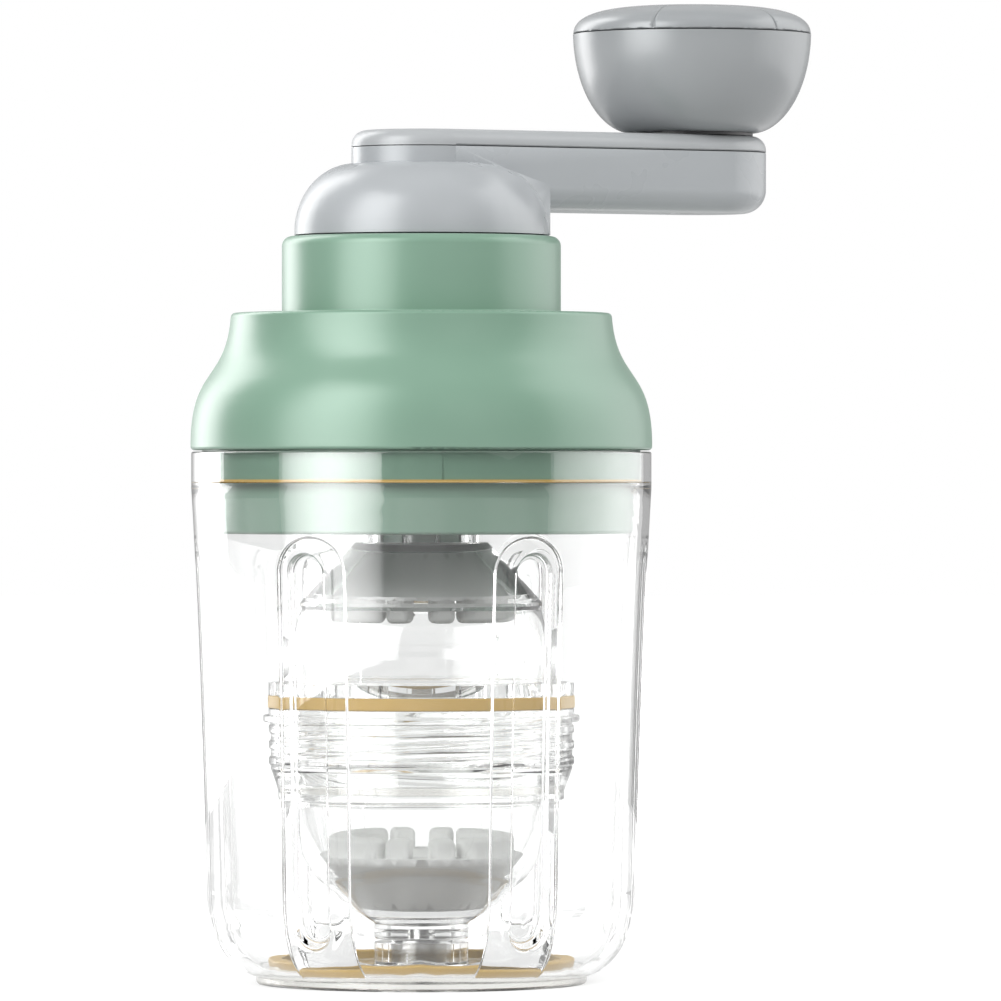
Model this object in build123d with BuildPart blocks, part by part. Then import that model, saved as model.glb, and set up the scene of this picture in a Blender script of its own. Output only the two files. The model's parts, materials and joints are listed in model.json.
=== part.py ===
from build123d import *
import os
from math import acos, cos, degrees, pi, radians, sin, tan

# A hand cranked egg spinner: a clear jar holds a clear screw-together egg capsule, and a
# geared crank in the lid spins the capsule on a ball bearing in the jar's floor.
# Everything is in millimetres. The vertical axis of the jar is Z, the table is Z = 0, and
# the front of the object faces -Y. Heights are stacked from the table upwards.

# ---------------------------------------------------------------- gaps
shaft_gap = 0.04          # radial running gap of a shaft in its bush or bearing
push_gap = 0.05           # gap beside screws, bearings and other pushed-in pieces
moulding_gap = 0.15       # gap beside a moulding that drops into another one
turning_gap = 0.3         # gap between covers that turn or lift past each other
cut_overlap = 1.0         # how far a cut starts inside a space that is already open

# ---------------------------------------------------------------- egg capsule
egg_room_radius = 25.6    # widest inside radius of the capsule
capsule_wall = 1.7
capsule_foot_radius = 9.9
capsule_foot_height = 2.65
capsule_floor = 1.75      # thickness of the rounded bottom over the spindle
lower_cone_angle = 39.4   # degrees above the horizontal
lower_cone_run = 11.7     # radial length of the lower cone
lower_belly_height = 16.8
lower_belly_bulge = 1.6   # how far the belly stands out of a straight line
shelf_thickness = 1.5     # shelf inside the lower collar, under the inner seal
inner_seal_thickness = 1.8
inner_seal_width = 2.1
collar_depth = 17.4       # from the shelf up to the lower rim
collar_wall = 1.0
collar_chamfer = 3.2      # slope between shelf and collar
rib_height = 0.4          # ribs round the collar, one for each thread
rib_width = 1.7
neck_wall = 2.7           # wall of the upper shell's threaded neck
neck_step = 1.3           # how far the neck's bore stands outside the egg room
neck_tip_step = 1.0       # how far the neck's plain tip stands inside its threaded part
neck_tip_length = 4.6
thread_starts = 3
thread_pitch = 3.3        # from one thread to the next, measured along the axis
thread_height = 0.7       # how far a thread stands out of its wall
thread_width = 1.1        # width of a thread at its root
thread_length = 9.0       # axial length of the threaded zone
thread_root_depth = 0.3   # how deep a thread's root is set into its wall
seal_ring_thickness = 2.6
rim_width = 1.55          # how far the lower rim stands out of the collar
rim_height = 2.8
flange_thickness = 2.7
flange_reach = 1.0        # how far the upper flange stays inside the lower rim
grip_count = 18           # grip lugs round the upper flange
grip_width = 5.4
grip_depth = 1.5
upper_belly_height = 15.1
upper_belly_bulge = 0.9
upper_cone_angle = 48.1   # degrees above the horizontal
upper_cone_run = 10.5
brow_height = 2.4         # small band between belly and cone of the upper shell
brow_depth = 0.5
crown_plate = 2.1         # flat top plate of the upper shell
crown_radius = 12.3
crown_wall = 2.9
crown_height = 2.3
crown_rim = 0.8           # rim of the cone round the top plate
crown_notches = 6
dog_lug_width = 4.4
dog_thickness = 2.0

# ---------------------------------------------------------------- silicone egg seats
seat_small_radius = 12.7
seat_large_radius = 21.3
seat_height = 10.3
seat_dish_radius = 13.2
seat_dish_depth = 6.0
stud_height = 3.9
stud_ring_radius = 16.8
stud_width = 4.8          # narrow studs, seen in pairs front and back
stud_length = 5.2         # radial length of the studs
stud_angle = 14.5         # half the angle between the two studs of a pair
long_stud_start = 27.0    # angle from the front where a long stud begins
stud_edge_radius = 1.2

# ---------------------------------------------------------------- ball bearing
bearing_radius = 6.5
bearing_bore_radius = 2.0
bearing_width = 5.0
race_wall = 1.25
ball_count = 7
shield_thickness = 0.3
shield_inset = 0.1
cage_thickness = 0.5

# ---------------------------------------------------------------- jar
jar_wall = 2.5
jar_floor = 2.1
jar_side_room = 4.6       # free space between the capsule's rim and the flutes
jar_flare = 3.1           # how much wider the mouth is than the waist
jar_lean_low = 0.42       # share of the side's height where it starts to lean outwards
jar_lean_high = 0.8       # share of the side's height where it is upright again
jar_corner_width = 12.0
jar_corner_rise = 18.0
jar_lip_height = 7.8      # upright lip at the mouth
lip_wall = 2.8
mouth_wall = 1.9
ledge_drop = 6.4          # from the jar's rim down to the gasket's ledge
flute_count = 6
flute_depth = 4.8         # how far a flute stands into the jar
flute_groove_width = 8.0
flute_groove_depth = 5.0  # depth of the groove outside, behind the flute
flute_side_wall = 3.5
flute_top_gap = 0.6       # from the lid's insert down to the top of the flutes
groove_lift = 7.6         # from the jar's underside up to the foot of the grooves
boss_wall = 3.35          # wall of the bearing's boss
bearing_lift = 0.7        # from the jar's floor up to the bearing
foot_ring_width = 3.5
foot_ring_height = 2.4
foot_groove_depth = 1.0
foot_ring_reach = 1.6     # how far the foot ring reaches past the flat base
floor_ring_width = 3.0
floor_ring_height = 2.0
floor_ring_inset = 0.9    # from the corner of the floor to the ring

# ---------------------------------------------------------------- lid
gasket_thickness = 0.6
insert_depth = 11.2       # from the gasket down to the insert's flat underside
insert_wall = 2.2
insert_floor = 2.2
insert_side_gap = 1.2     # between the insert and the jar's lip
band_height = 8.4         # guiding band above the gasket
band_gap = 0.4            # between the band and the jar's mouth
key_width = 9.2
key_height = 5.4
key_depth = 0.25
skirt_overhang = 0.15     # how far the skirt stands outside the jar's rim
skirt_height = 28.6
skirt_upright = 18.0      # how strongly the skirt keeps upright below its waist
skirt_hollow = 15.0       # how strongly it keeps upright below the shoulder
lid_wall = 2.2
shoulder_width = 10.6     # flat shoulder between skirt and collar
shoulder_edge_radius = 0.9
skirt_edge_radius = 0.8
collar_wall_thickness = 2.2
collar_edge_radius = 2.0
collar_ledge_width = 3.7
collar_ledge_height = 3.6
lid_top_plate = 2.4
pillar_circle_radius = 33.0
pillar_radius = 4.6
pillar_height = 20.0      # from the insert's floor up to the lid's bosses
pillar_head_depth = 4.0   # plastic left between a lid screw's head and the boss
lid_boss_radius = 3.6
lid_screw_radius = 1.5
lid_screw_head_radius = 2.8
lid_screw_head_height = 2.4
lid_screw_length = 12.0
plug_thickness = 2.0
tube_wall = 2.1           # wall of the insert's shaft tube
tube_height = 12.0

# ---------------------------------------------------------------- planetary gears
gear_module = 0.8
pressure_angle = 25.0     # degrees
sun_teeth = 12
planet_teeth = 21
planet_count = 3
ring_teeth = sun_teeth + 2 * planet_teeth
root_depth = 1.25         # in modules
backlash = 0.12           # how much thinner each tooth is at the pitch circle
ring_gear_wall = 4.15
ring_gear_height = 8.1
gear_floor_thickness = 2.4
gear_floor_lift = 1.7     # from the shoulder's underside to the gearbox floor
gear_side_gap = 0.3       # axial gap above and below the planets
planet_pin_radius = 1.5
carrier_thickness = 2.2
carrier_radius = 19.5
carrier_gap = 0.3
gear_screw_radius = 1.0
gear_screw_head_radius = 1.8
gear_screw_head_height = 1.2
output_shaft_radius = 2.5
shaft_end_gap = 0.7       # from the sun gear's top to the carrier
bush_wall = 1.9
bush_length = 8.0
clip_thickness = 0.7
clip_groove = 0.5
clip_radius = 4.6
dog_hub_radius = 4.4
dog_hub_height = 2.2

# ---------------------------------------------------------------- crank
arm_angle = 30.0          # degrees from +X towards +Y, where the arm is at rest
dome_inset = 2.6          # how much narrower the dome is than the collar
dome_height = 14.9
dome_round_width = 12.5
dome_round_height = 14.2
crank_wall = 2.2
arm_lift = 5.4            # from the dome's underside to the arm's underside
arm_half_width = 14.6
arm_length = 67.3         # between the centres of the two round ends
arm_height = 12.8
arm_edge_radius = 5.0
web_reach = 0.4           # how far the web under the arm stands outside the dome
cover_thickness = 3.4
cover_edge_radius = 3.0
cover_lip_height = 1.6
cover_lip_wall = 1.6
seam_gap = 0.2
hub_boss_radius = 8.0
hub_bush_wall = 2.1
hub_bush_flange = 0.5
hub_screw_radius = 2.0
hub_screw_head_radius = 3.8
hub_screw_head_height = 2.6

# ---------------------------------------------------------------- knob
knob_centre_inset = 1.3   # from the arm's end centre back to the knob's axis
knob_radius = 25.3
knob_base_radius = 13.2
knob_bowl_height = 20.9
bowl_low_reach = 5.3      # how strongly the bowl keeps level round its base
bowl_side_reach = 7.6     # how high the bowl's side starts to keep upright
knob_cap_height = 5.8
knob_wall = 2.4
knob_flat_radius = 7.0    # flat centre of the cap
knob_washer_thickness = 0.6
knob_axle_radius = 3.0
knob_axle_seat = 9.6      # length of the axle held in the arm
knob_bush_wall = 2.0
knob_tube_wall = 1.6
knob_tube_height = 17.6
knob_screw_radius = 1.5
knob_screw_head_radius = 4.4
knob_screw_head_height = 1.9
knob_screw_length = 8.0
cap_rise = 3.8            # how far the cap's rim keeps upright before it domes over
cap_shoulder_radius = 19.5
cap_thickness = 2.4
cap_plug_height = 3.4
cap_plug_wall = 1.8
tab_angle = 11.8          # degrees from the front to the middle of the cap's tab
tab_half_angle = 31.6
tab_inner_radius = 13.0
tab_groove = 0.5


# ================================================================ heights, from the table up
jar_base_z = foot_ring_height - foot_groove_depth
jar_floor_z = jar_base_z + jar_floor
bearing_z = jar_floor_z + bearing_lift
bearing_top_z = bearing_z + bearing_width
capsule_base_z = bearing_top_z + turning_gap
cone_low_z = capsule_base_z + capsule_foot_height
lower_belly_z = cone_low_z + lower_cone_run * tan(radians(lower_cone_angle))
shelf_under_z = lower_belly_z + lower_belly_height
shelf_z = shelf_under_z + shelf_thickness
inner_seal_top_z = shelf_z + inner_seal_thickness
neck_tip_z = inner_seal_top_z + push_gap
rim_z = shelf_z + collar_depth
seal_z = rim_z + push_gap
flange_z = seal_z + seal_ring_thickness + push_gap
flange_top_z = flange_z + flange_thickness
brow_z = flange_top_z + upper_belly_height
cone_high_low_z = brow_z + brow_height
cone_top_z = cone_high_low_z + upper_cone_run * tan(radians(upper_cone_angle))
crown_plate_z = cone_top_z - crown_rim
crown_top_z = crown_plate_z + crown_height

insert_z = crown_top_z + turning_gap
gasket_top_z = insert_z + insert_depth
ledge_z = gasket_top_z - gasket_thickness
jar_rim_z = ledge_z + ledge_drop
jar_lip_z = jar_rim_z - jar_lip_height
jar_waist_z = jar_base_z + jar_corner_rise
flute_top_z = insert_z - flute_top_gap
skirt_z = jar_rim_z + turning_gap
shoulder_z = skirt_z + skirt_height
shoulder_under_z = shoulder_z - lid_wall
gear_floor_z = shoulder_under_z + gear_floor_lift
ring_gear_z = gear_floor_z + gear_floor_thickness
ring_gear_top_z = ring_gear_z + ring_gear_height
top_plate_z = ring_gear_top_z + collar_ledge_height
lid_top_z = top_plate_z + lid_top_plate
carrier_top_z = top_plate_z - hub_bush_flange - carrier_gap
carrier_z = carrier_top_z - carrier_thickness
planet_z = ring_gear_z + gear_side_gap
planet_top_z = carrier_z - gear_side_gap
sun_top_z = carrier_z - shaft_end_gap
pillar_top_z = insert_z + insert_floor + pillar_height
dog_top_z = insert_z - turning_gap
dog_z = dog_top_z - dog_thickness
tube_top_z = insert_z + tube_height

dome_z = lid_top_z + turning_gap
dome_top_z = dome_z + dome_height
arm_z = dome_z + arm_lift
arm_top_z = arm_z + arm_height
cover_z = arm_top_z + seam_gap
cover_top_z = cover_z + cover_thickness
knob_washer_z = cover_top_z + push_gap
knob_base_z = knob_washer_z + knob_washer_thickness + push_gap
knob_bowl_top_z = knob_base_z + knob_bowl_height
knob_cap_z = knob_bowl_top_z + seam_gap
knob_top_z = knob_cap_z + knob_cap_height
knob_axle_z = arm_top_z - knob_axle_seat
knob_axle_top_z = knob_base_z + knob_tube_height + push_gap

# ================================================================ radii, from the egg outwards
belly_radius = egg_room_radius + capsule_wall
cone_low_radius = capsule_foot_radius
cone_belly_radius = cone_low_radius + lower_cone_run
neck_bore_radius = egg_room_radius + neck_step
neck_radius = neck_bore_radius + neck_wall
neck_tip_radius = neck_radius - neck_tip_step
collar_bore_radius = neck_radius + thread_height + moulding_gap
collar_tip_bore_radius = neck_tip_radius + moulding_gap
collar_radius = collar_bore_radius + collar_wall
rim_radius = collar_radius + rim_width
flange_radius = rim_radius - flange_reach
cone_top_radius = crown_radius + crown_rim * 2
cone_high_low_radius = cone_top_radius + upper_cone_run

jar_waist_radius = rim_radius + jar_side_room + flute_depth + jar_wall
jar_rim_radius = jar_waist_radius + jar_flare
corner_centre_radius = jar_waist_radius - jar_corner_width
jar_lip_bore_radius = jar_rim_radius - lip_wall
mouth_radius = jar_rim_radius - mouth_wall
boss_radius = bearing_radius + push_gap + boss_wall
foot_ring_radius = corner_centre_radius + foot_ring_reach
floor_ring_radius = corner_centre_radius - floor_ring_inset

insert_radius = jar_lip_bore_radius - insert_side_gap
band_radius = mouth_radius - band_gap
skirt_radius = jar_rim_radius + skirt_overhang
ring_gear_radius = gear_module * (ring_teeth / 2 + root_depth) + ring_gear_wall
collar_gear_radius = ring_gear_radius + moulding_gap
lid_collar_radius = collar_gear_radius + collar_wall_thickness
shoulder_radius = lid_collar_radius + shoulder_width
collar_ledge_radius = collar_gear_radius - collar_ledge_width
gear_screw_circle_radius = ring_gear_radius - ring_gear_wall / 2
planet_circle_radius = gear_module * (sun_teeth + planet_teeth) / 2
tube_bore_radius = output_shaft_radius + shaft_gap + bush_wall + push_gap
tube_radius = tube_bore_radius + tube_wall
dome_radius = lid_collar_radius - dome_inset
hub_bush_radius = hub_boss_radius + shaft_gap + hub_bush_wall
knob_offset = arm_length - knob_centre_inset

# planes that follow the arm and the knob
arm_direction = (cos(radians(arm_angle)), sin(radians(arm_angle)), 0)
knob_centre = (knob_offset * arm_direction[0], knob_offset * arm_direction[1])


# ================================================================ shared steps
def arm_plane(height):
    """A level plane at a height, with its X axis along the crank arm."""
    return Plane(origin=(0, 0, height), x_dir=arm_direction, z_dir=(0, 0, 1))


def knob_plane(height):
    """A level plane at a height, centred on the knob's axis."""
    return Plane(origin=(knob_centre[0], knob_centre[1], height), z_dir=(0, 0, 1))


def turned(*points, centre=(0, 0), mode=Mode.ADD):
    """Turn a closed outline of (radius, height) points about an upright axis."""
    upright = Plane(origin=(centre[0], centre[1], 0), x_dir=(1, 0, 0), z_dir=(0, -1, 0))
    with BuildSketch(upright) as outline:
        with BuildLine():
            Polyline(*points, close=True)
        make_face()
    axis = Axis((centre[0], centre[1], 0), (0, 0, 1))
    revolve(outline.sketch, axis=axis, mode=mode)


def turned_ring(outer_radius, inner_radius, low, high, centre=(0, 0), mode=Mode.ADD):
    """A flat-ended ring, or a disc where the inner radius is 0, between two heights."""
    corners = [(inner_radius, low), (outer_radius, low), (outer_radius, high), (inner_radius, high)]
    turned(*corners, centre=centre, mode=mode)


def drilled(places, radius, low, high, mode=Mode.SUBTRACT):
    """Upright round holes, or round bars, at a list of (x, y) places between two heights."""
    with BuildSketch(Plane.XY.offset(low)) as circles:
        with Locations(*places):
            Circle(radius)
    extrude(circles.sketch, amount=high - low, mode=mode)


def polar_places(radius, count, first_angle):
    """Points spread evenly on a circle, starting at an angle in degrees."""
    angles = [radians(first_angle + 360 * step / count) for step in range(count)]
    return [(radius * cos(angle), radius * sin(angle)) for angle in angles]


def involute(angle):
    """The involute function of a pressure angle in radians."""
    return tan(angle) - angle


def gear_outline(teeth, tip_radius, root_radius, tooth_change):
    """Draw a gear's closed outline: involute flanks on a base circle, with round tips and roots.

    tooth_change widens each tooth at the pitch circle, or narrows it when it is negative.
    One tooth is centred on the X axis.
    """
    pitch_radius = gear_module * teeth / 2
    base_radius = pitch_radius * cos(radians(pressure_angle))
    half_pitch_angle = pi / (2 * teeth) + tooth_change / (2 * pitch_radius)
    flank_start = max(base_radius, root_radius)

    def half_angle(radius):
        local_pressure = acos(min(1.0, base_radius / radius))
        return half_pitch_angle + involute(radians(pressure_angle)) - involute(local_pressure)

    def at(radius, angle):
        return (radius * cos(angle), radius * sin(angle))

    flank_radii = [flank_start + (tip_radius - flank_start) * step / 4 for step in range(5)]
    for tooth in range(teeth):
        middle = 2 * pi * tooth / teeth
        following = middle + 2 * pi / teeth
        rising = [at(radius, middle - half_angle(radius)) for radius in flank_radii]
        falling = [at(radius, middle + half_angle(radius)) for radius in reversed(flank_radii)]
        next_start = at(flank_start, following - half_angle(flank_start))
        Spline(*rising)
        ThreePointArc(rising[-1], at(tip_radius, middle), falling[0])
        Spline(*falling)
        if flank_start > root_radius:
            root_end = at(root_radius, middle + half_angle(flank_start))
            next_root = at(root_radius, following - half_angle(flank_start))
            Line(falling[-1], root_end)
            ThreePointArc(root_end, at(root_radius, middle + pi / teeth), next_root)
            Line(next_root, next_start)
        else:
            ThreePointArc(falling[-1], at(root_radius, middle + pi / teeth), next_start)


def jar_turned(inset, low, mode=Mode.ADD):
    """Turn the jar's outside form, drawn in by an inset, from a floor up to its upright lip."""
    side_height = jar_lip_z - jar_waist_z
    lean_low = (jar_waist_radius + jar_flare / 4 - inset, jar_waist_z + side_height * jar_lean_low)
    lean_high = (jar_rim_radius - jar_flare / 3 - inset, jar_waist_z + side_height * jar_lean_high)
    with BuildSketch(Plane.XZ) as outline:
        with BuildLine():
            Line((0, low), (corner_centre_radius, low))
            EllipticalCenterArc(
                (corner_centre_radius, jar_waist_z),
                jar_corner_width - inset,
                jar_waist_z - low,
                start_angle=270,
                arc_size=90,
            )
            Bezier(
                (jar_waist_radius - inset, jar_waist_z),
                lean_low,
                lean_high,
                (jar_rim_radius - inset, jar_lip_z),
            )
            Polyline((jar_rim_radius - inset, jar_lip_z), (0, jar_lip_z), (0, low))
        make_face()
    revolve(outline.sketch, axis=Axis.Z, mode=mode)


def arches(width, low, top, depth, mode=Mode.ADD):
    """Upright arch-topped bars that run outwards from the axis, one for each flute."""
    radius = width / 2
    for angle in flute_angles:
        outwards = (cos(radians(angle)), sin(radians(angle)), 0)
        along = (-sin(radians(angle)), cos(radians(angle)), 0)
        with BuildSketch(Plane(origin=(0, 0, 0), x_dir=along, z_dir=outwards)) as arch:
            with Locations((0, (low + top - radius) / 2)):
                Rectangle(width, top - radius - low)
            with Locations((0, top - radius)):
                Circle(radius)
        extrude(arch.sketch, amount=depth, mode=mode)


def thread_ridges(root_radius, crest_radius, first_angle, low, mode=Mode.ADD):
    """The threads of one shell: ridges of trapezoid section that climb round the axis."""
    lead = thread_starts * thread_pitch
    rise = crest_radius - root_radius
    sunk = thread_root_depth if rise > 0 else -thread_root_depth
    for start in range(thread_starts):
        angle = first_angle + 360 * start / thread_starts
        helix = Helix(lead, thread_length, root_radius, center=(0, 0, low), mode=Mode.PRIVATE)
        path = helix.rotate(Axis.Z, angle)
        origin = path @ 0
        outwards = (cos(radians(angle)), sin(radians(angle)), 0)
        section = Plane(origin=origin, x_dir=outwards, z_dir=path % 0)
        half_root = thread_width / 2
        half_crest = thread_width / 4
        with BuildSketch(section) as profile:
            with BuildLine():
                foot = [(-sunk, -half_root), (-sunk, half_root)]
                crest = [(rise, half_crest), (rise, -half_crest)]
                Polyline(*foot, *crest, close=True)
            make_face()
        sweep(profile.sketch, path=path, is_frenet=True, mode=mode)


def write(piece, name):
    """Label a finished piece and write it under its name."""
    piece.part.label = name
    export_step(piece.part, f"parts/{name}.step")


flute_angles = [360 * step / flute_count for step in range(flute_count)]
os.makedirs("parts", exist_ok=True)


# ================================================================ jar
# The jar is blown up from one outside form. Its room is that form drawn in by the wall, less the
# arches of the flutes, which keep to a second form drawn in further still.
flute_width = flute_groove_width + 2 * flute_side_wall

with BuildPart() as jar_room:
    jar_turned(jar_wall, jar_floor_z)
    arches(flute_width, 0, flute_top_z, jar_rim_radius, mode=Mode.SUBTRACT)
    jar_turned(jar_wall + flute_depth, jar_floor_z)

with BuildPart() as jar_grooves:
    groove_z = jar_base_z + groove_lift
    groove_top_z = flute_top_z - flute_side_wall
    arches(flute_groove_width, groove_z, groove_top_z, jar_rim_radius + jar_wall)
    jar_turned(flute_groove_depth, jar_base_z + foot_groove_depth * 2, mode=Mode.SUBTRACT)

with BuildPart() as jar_body:
    jar_turned(0, jar_base_z)
    turned_ring(jar_rim_radius, 0, jar_lip_z, jar_rim_z)
    add(jar_room.part, mode=Mode.SUBTRACT)
    add(jar_grooves.part, mode=Mode.SUBTRACT)
    turned_ring(jar_lip_bore_radius, 0, jar_lip_z - cut_overlap, jar_rim_z, mode=Mode.SUBTRACT)
    turned_ring(mouth_radius, 0, ledge_z, jar_rim_z, mode=Mode.SUBTRACT)
    turned_ring(boss_radius, 0, jar_floor_z - jar_floor / 2, bearing_top_z - turning_gap)
    turned_ring(bearing_radius + push_gap, 0, bearing_z, bearing_top_z, mode=Mode.SUBTRACT)
    turned_ring(bearing_radius - race_wall, 0, jar_floor_z, bearing_z, mode=Mode.SUBTRACT)
    turned_ring(
        foot_ring_radius + push_gap,
        foot_ring_radius - foot_ring_width - push_gap,
        0,
        jar_base_z + foot_groove_depth,
        mode=Mode.SUBTRACT,
    )
write(jar_body, "jar_body")

with BuildPart() as foot_ring:
    turned_ring(foot_ring_radius, foot_ring_radius - foot_ring_width, 0, foot_ring_height)
    chamfer(foot_ring.edges().group_by(Axis.Z)[0], foot_ring_width / 8)
write(foot_ring, "foot_ring")

with BuildPart() as floor_ring:
    floor_ring_top_z = jar_floor_z + floor_ring_height
    turned_ring(floor_ring_radius, floor_ring_radius - floor_ring_width, jar_floor_z, floor_ring_top_z)
    fillet(floor_ring.edges().group_by(Axis.Z)[-1], floor_ring_height / 4)
write(floor_ring, "floor_ring")

with BuildPart() as lid_gasket:
    turned_ring(mouth_radius - push_gap, jar_lip_bore_radius + push_gap, ledge_z, gasket_top_z)
write(lid_gasket, "lid_gasket")

# ================================================================ ball bearing
inner_race_radius = bearing_bore_radius + race_wall
outer_race_bore = bearing_radius - race_wall
ball_circle_radius = (inner_race_radius + outer_race_bore) / 2
ball_radius = (outer_race_bore - inner_race_radius) / 2 - push_gap
ball_z = bearing_z + bearing_width / 2

with BuildPart() as bearing_outer_race:
    turned_ring(bearing_radius, outer_race_bore, bearing_z, bearing_top_z)
    for shield_z in (bearing_z + shield_inset, bearing_top_z - shield_inset - shield_thickness):
        turned_ring(outer_race_bore, inner_race_radius + push_gap, shield_z, shield_z + shield_thickness)
write(bearing_outer_race, "bearing_outer_race")

with BuildPart() as bearing_inner_race:
    turned_ring(inner_race_radius, bearing_bore_radius, bearing_z, bearing_top_z)
write(bearing_inner_race, "bearing_inner_race")

with BuildPart() as bearing_balls:
    with Locations((0, 0, ball_z)):
        with PolarLocations(ball_circle_radius, ball_count):
            Sphere(ball_radius)
write(bearing_balls, "bearing_balls")

with BuildPart() as bearing_cage:
    cage_z = ball_z + ball_radius + push_gap
    cage_half_width = ball_radius / 2
    turned_ring(
        ball_circle_radius + cage_half_width,
        ball_circle_radius - cage_half_width,
        cage_z,
        cage_z + cage_thickness,
    )
write(bearing_cage, "bearing_cage")

# ================================================================ capsule, lower shell
cone_slope = tan(radians(lower_cone_angle))
cone_inset = capsule_wall / sin(radians(lower_cone_angle))
bowl_floor_z = capsule_base_z + capsule_floor
cone_apex_z = cone_low_z - (cone_low_radius - cone_inset) * cone_slope
bowl_round = cos(radians(lower_cone_angle)) / (1 - cos(radians(lower_cone_angle)))
bowl_radius = (bowl_floor_z - cone_apex_z) * bowl_round
bowl_centre_z = bowl_floor_z + bowl_radius
bowl_edge = (
    bowl_radius * sin(radians(lower_cone_angle)),
    bowl_centre_z - bowl_radius * cos(radians(lower_cone_angle)),
)
bowl_middle = (
    bowl_radius * sin(radians(lower_cone_angle / 2)),
    bowl_centre_z - bowl_radius * cos(radians(lower_cone_angle / 2)),
)
# the belly bulges between the cone and the shelf; the same bulge is used inside and outside
belly_middle_z = (lower_belly_z + shelf_under_z) / 2
belly_middle_radius = (cone_belly_radius + belly_radius) / 2 + lower_belly_bulge
cone_inner_radius = cone_belly_radius - cone_inset
belly_inner_middle = (cone_inner_radius + egg_room_radius) / 2 + lower_belly_bulge - capsule_wall / 4
thread_z = rim_z - rim_height / 2 - thread_length
collar_tip_z = neck_tip_z + neck_tip_length

with BuildPart() as capsule_lower:
    with BuildSketch(Plane.XZ) as lower_skin:
        with BuildLine():
            Polyline(
                (0, capsule_base_z),
                (capsule_foot_radius, capsule_base_z),
                (cone_low_radius, cone_low_z),
                (cone_belly_radius, lower_belly_z),
            )
            ThreePointArc(
                (cone_belly_radius, lower_belly_z),
                (belly_middle_radius, belly_middle_z),
                (belly_radius, shelf_under_z),
            )
            Polyline(
                (belly_radius, shelf_under_z),
                (collar_tip_bore_radius + collar_wall, shelf_under_z),
                (collar_tip_bore_radius + collar_wall, shelf_z),
                (collar_radius, shelf_z + collar_chamfer * 1.5),
                (collar_radius, rim_z - rim_height),
                (rim_radius, rim_z - rim_height),
                (rim_radius, rim_z - rim_height / 2),
                (flange_radius, rim_z - rim_height / 2),
                (flange_radius, rim_z),
                (0, rim_z),
                (0, capsule_base_z),
            )
        make_face()
        fillet(lower_skin.vertices().sort_by_distance((rim_radius, rim_z - rim_height))[0], rim_width / 4)
    revolve(axis=Axis.Z)
    with BuildSketch(Plane.XZ) as lower_room:
        with BuildLine():
            ThreePointArc((0, bowl_floor_z), bowl_middle, bowl_edge)
            Line(bowl_edge, (cone_inner_radius, lower_belly_z))
            ThreePointArc(
                (cone_inner_radius, lower_belly_z),
                (belly_inner_middle, belly_middle_z),
                (egg_room_radius, shelf_under_z),
            )
            Polyline(
                (egg_room_radius, shelf_under_z),
                (egg_room_radius, shelf_z),
                (collar_tip_bore_radius, shelf_z),
                (collar_tip_bore_radius, collar_tip_z - (collar_bore_radius - collar_tip_bore_radius)),
                (collar_bore_radius, collar_tip_z),
                (collar_bore_radius, rim_z),
                (0, rim_z),
                (0, bowl_floor_z),
            )
        make_face()
    revolve(axis=Axis.Z, mode=Mode.SUBTRACT)
    for rib in range(thread_starts):
        rib_z = shelf_z + collar_chamfer * 1.5 + rib_width / 2 + rib * thread_pitch
        turned_ring(collar_radius + rib_height, collar_radius - rib_height, rib_z, rib_z + rib_width)
    thread_ridges(
        collar_bore_radius,
        neck_radius + moulding_gap,
        180 / thread_starts,
        thread_z,
    )
    pin_socket_top_z = capsule_base_z + capsule_floor / 2
    turned_ring(bearing_bore_radius + push_gap, 0, capsule_base_z, pin_socket_top_z, mode=Mode.SUBTRACT)
write(capsule_lower, "capsule_lower")

with BuildPart() as spindle_pin:
    spindle_radius = bearing_bore_radius - shaft_gap
    turned_ring(spindle_radius, 0, bearing_z + turning_gap, pin_socket_top_z)
    turned_ring(inner_race_radius, 0, bearing_top_z, capsule_base_z)
    chamfer(spindle_pin.edges().group_by(Axis.Z)[0], spindle_radius / 5)
write(spindle_pin, "spindle_pin")

with BuildPart() as inner_seal:
    inner_seal_radius = collar_tip_bore_radius - push_gap
    turned_ring(inner_seal_radius, inner_seal_radius - inner_seal_width, shelf_z, inner_seal_top_z)
write(inner_seal, "inner_seal")

with BuildPart() as seal_ring:
    # its bore passes over the threads, so it comes off with the lower shell
    turned_ring(flange_radius, collar_bore_radius, seal_z, seal_z + seal_ring_thickness)
    fillet(seal_ring.edges().filter_by(GeomType.CIRCLE), seal_ring_thickness / 10)
write(seal_ring, "seal_ring")

# ================================================================ capsule, upper shell
upper_slope = tan(radians(upper_cone_angle))
upper_inset = capsule_wall / sin(radians(upper_cone_angle))
crown_under_z = crown_plate_z - crown_plate
cone_top_inner_radius = cone_top_radius + (cone_top_z - crown_under_z) / upper_slope - upper_inset
cone_low_inner_radius = cone_high_low_radius - upper_inset
upper_belly_radius = cone_high_low_radius + brow_depth
upper_belly_middle_z = (flange_top_z + brow_z) / 2
upper_belly_middle = (belly_radius + upper_belly_radius) / 2 + upper_belly_bulge

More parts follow.
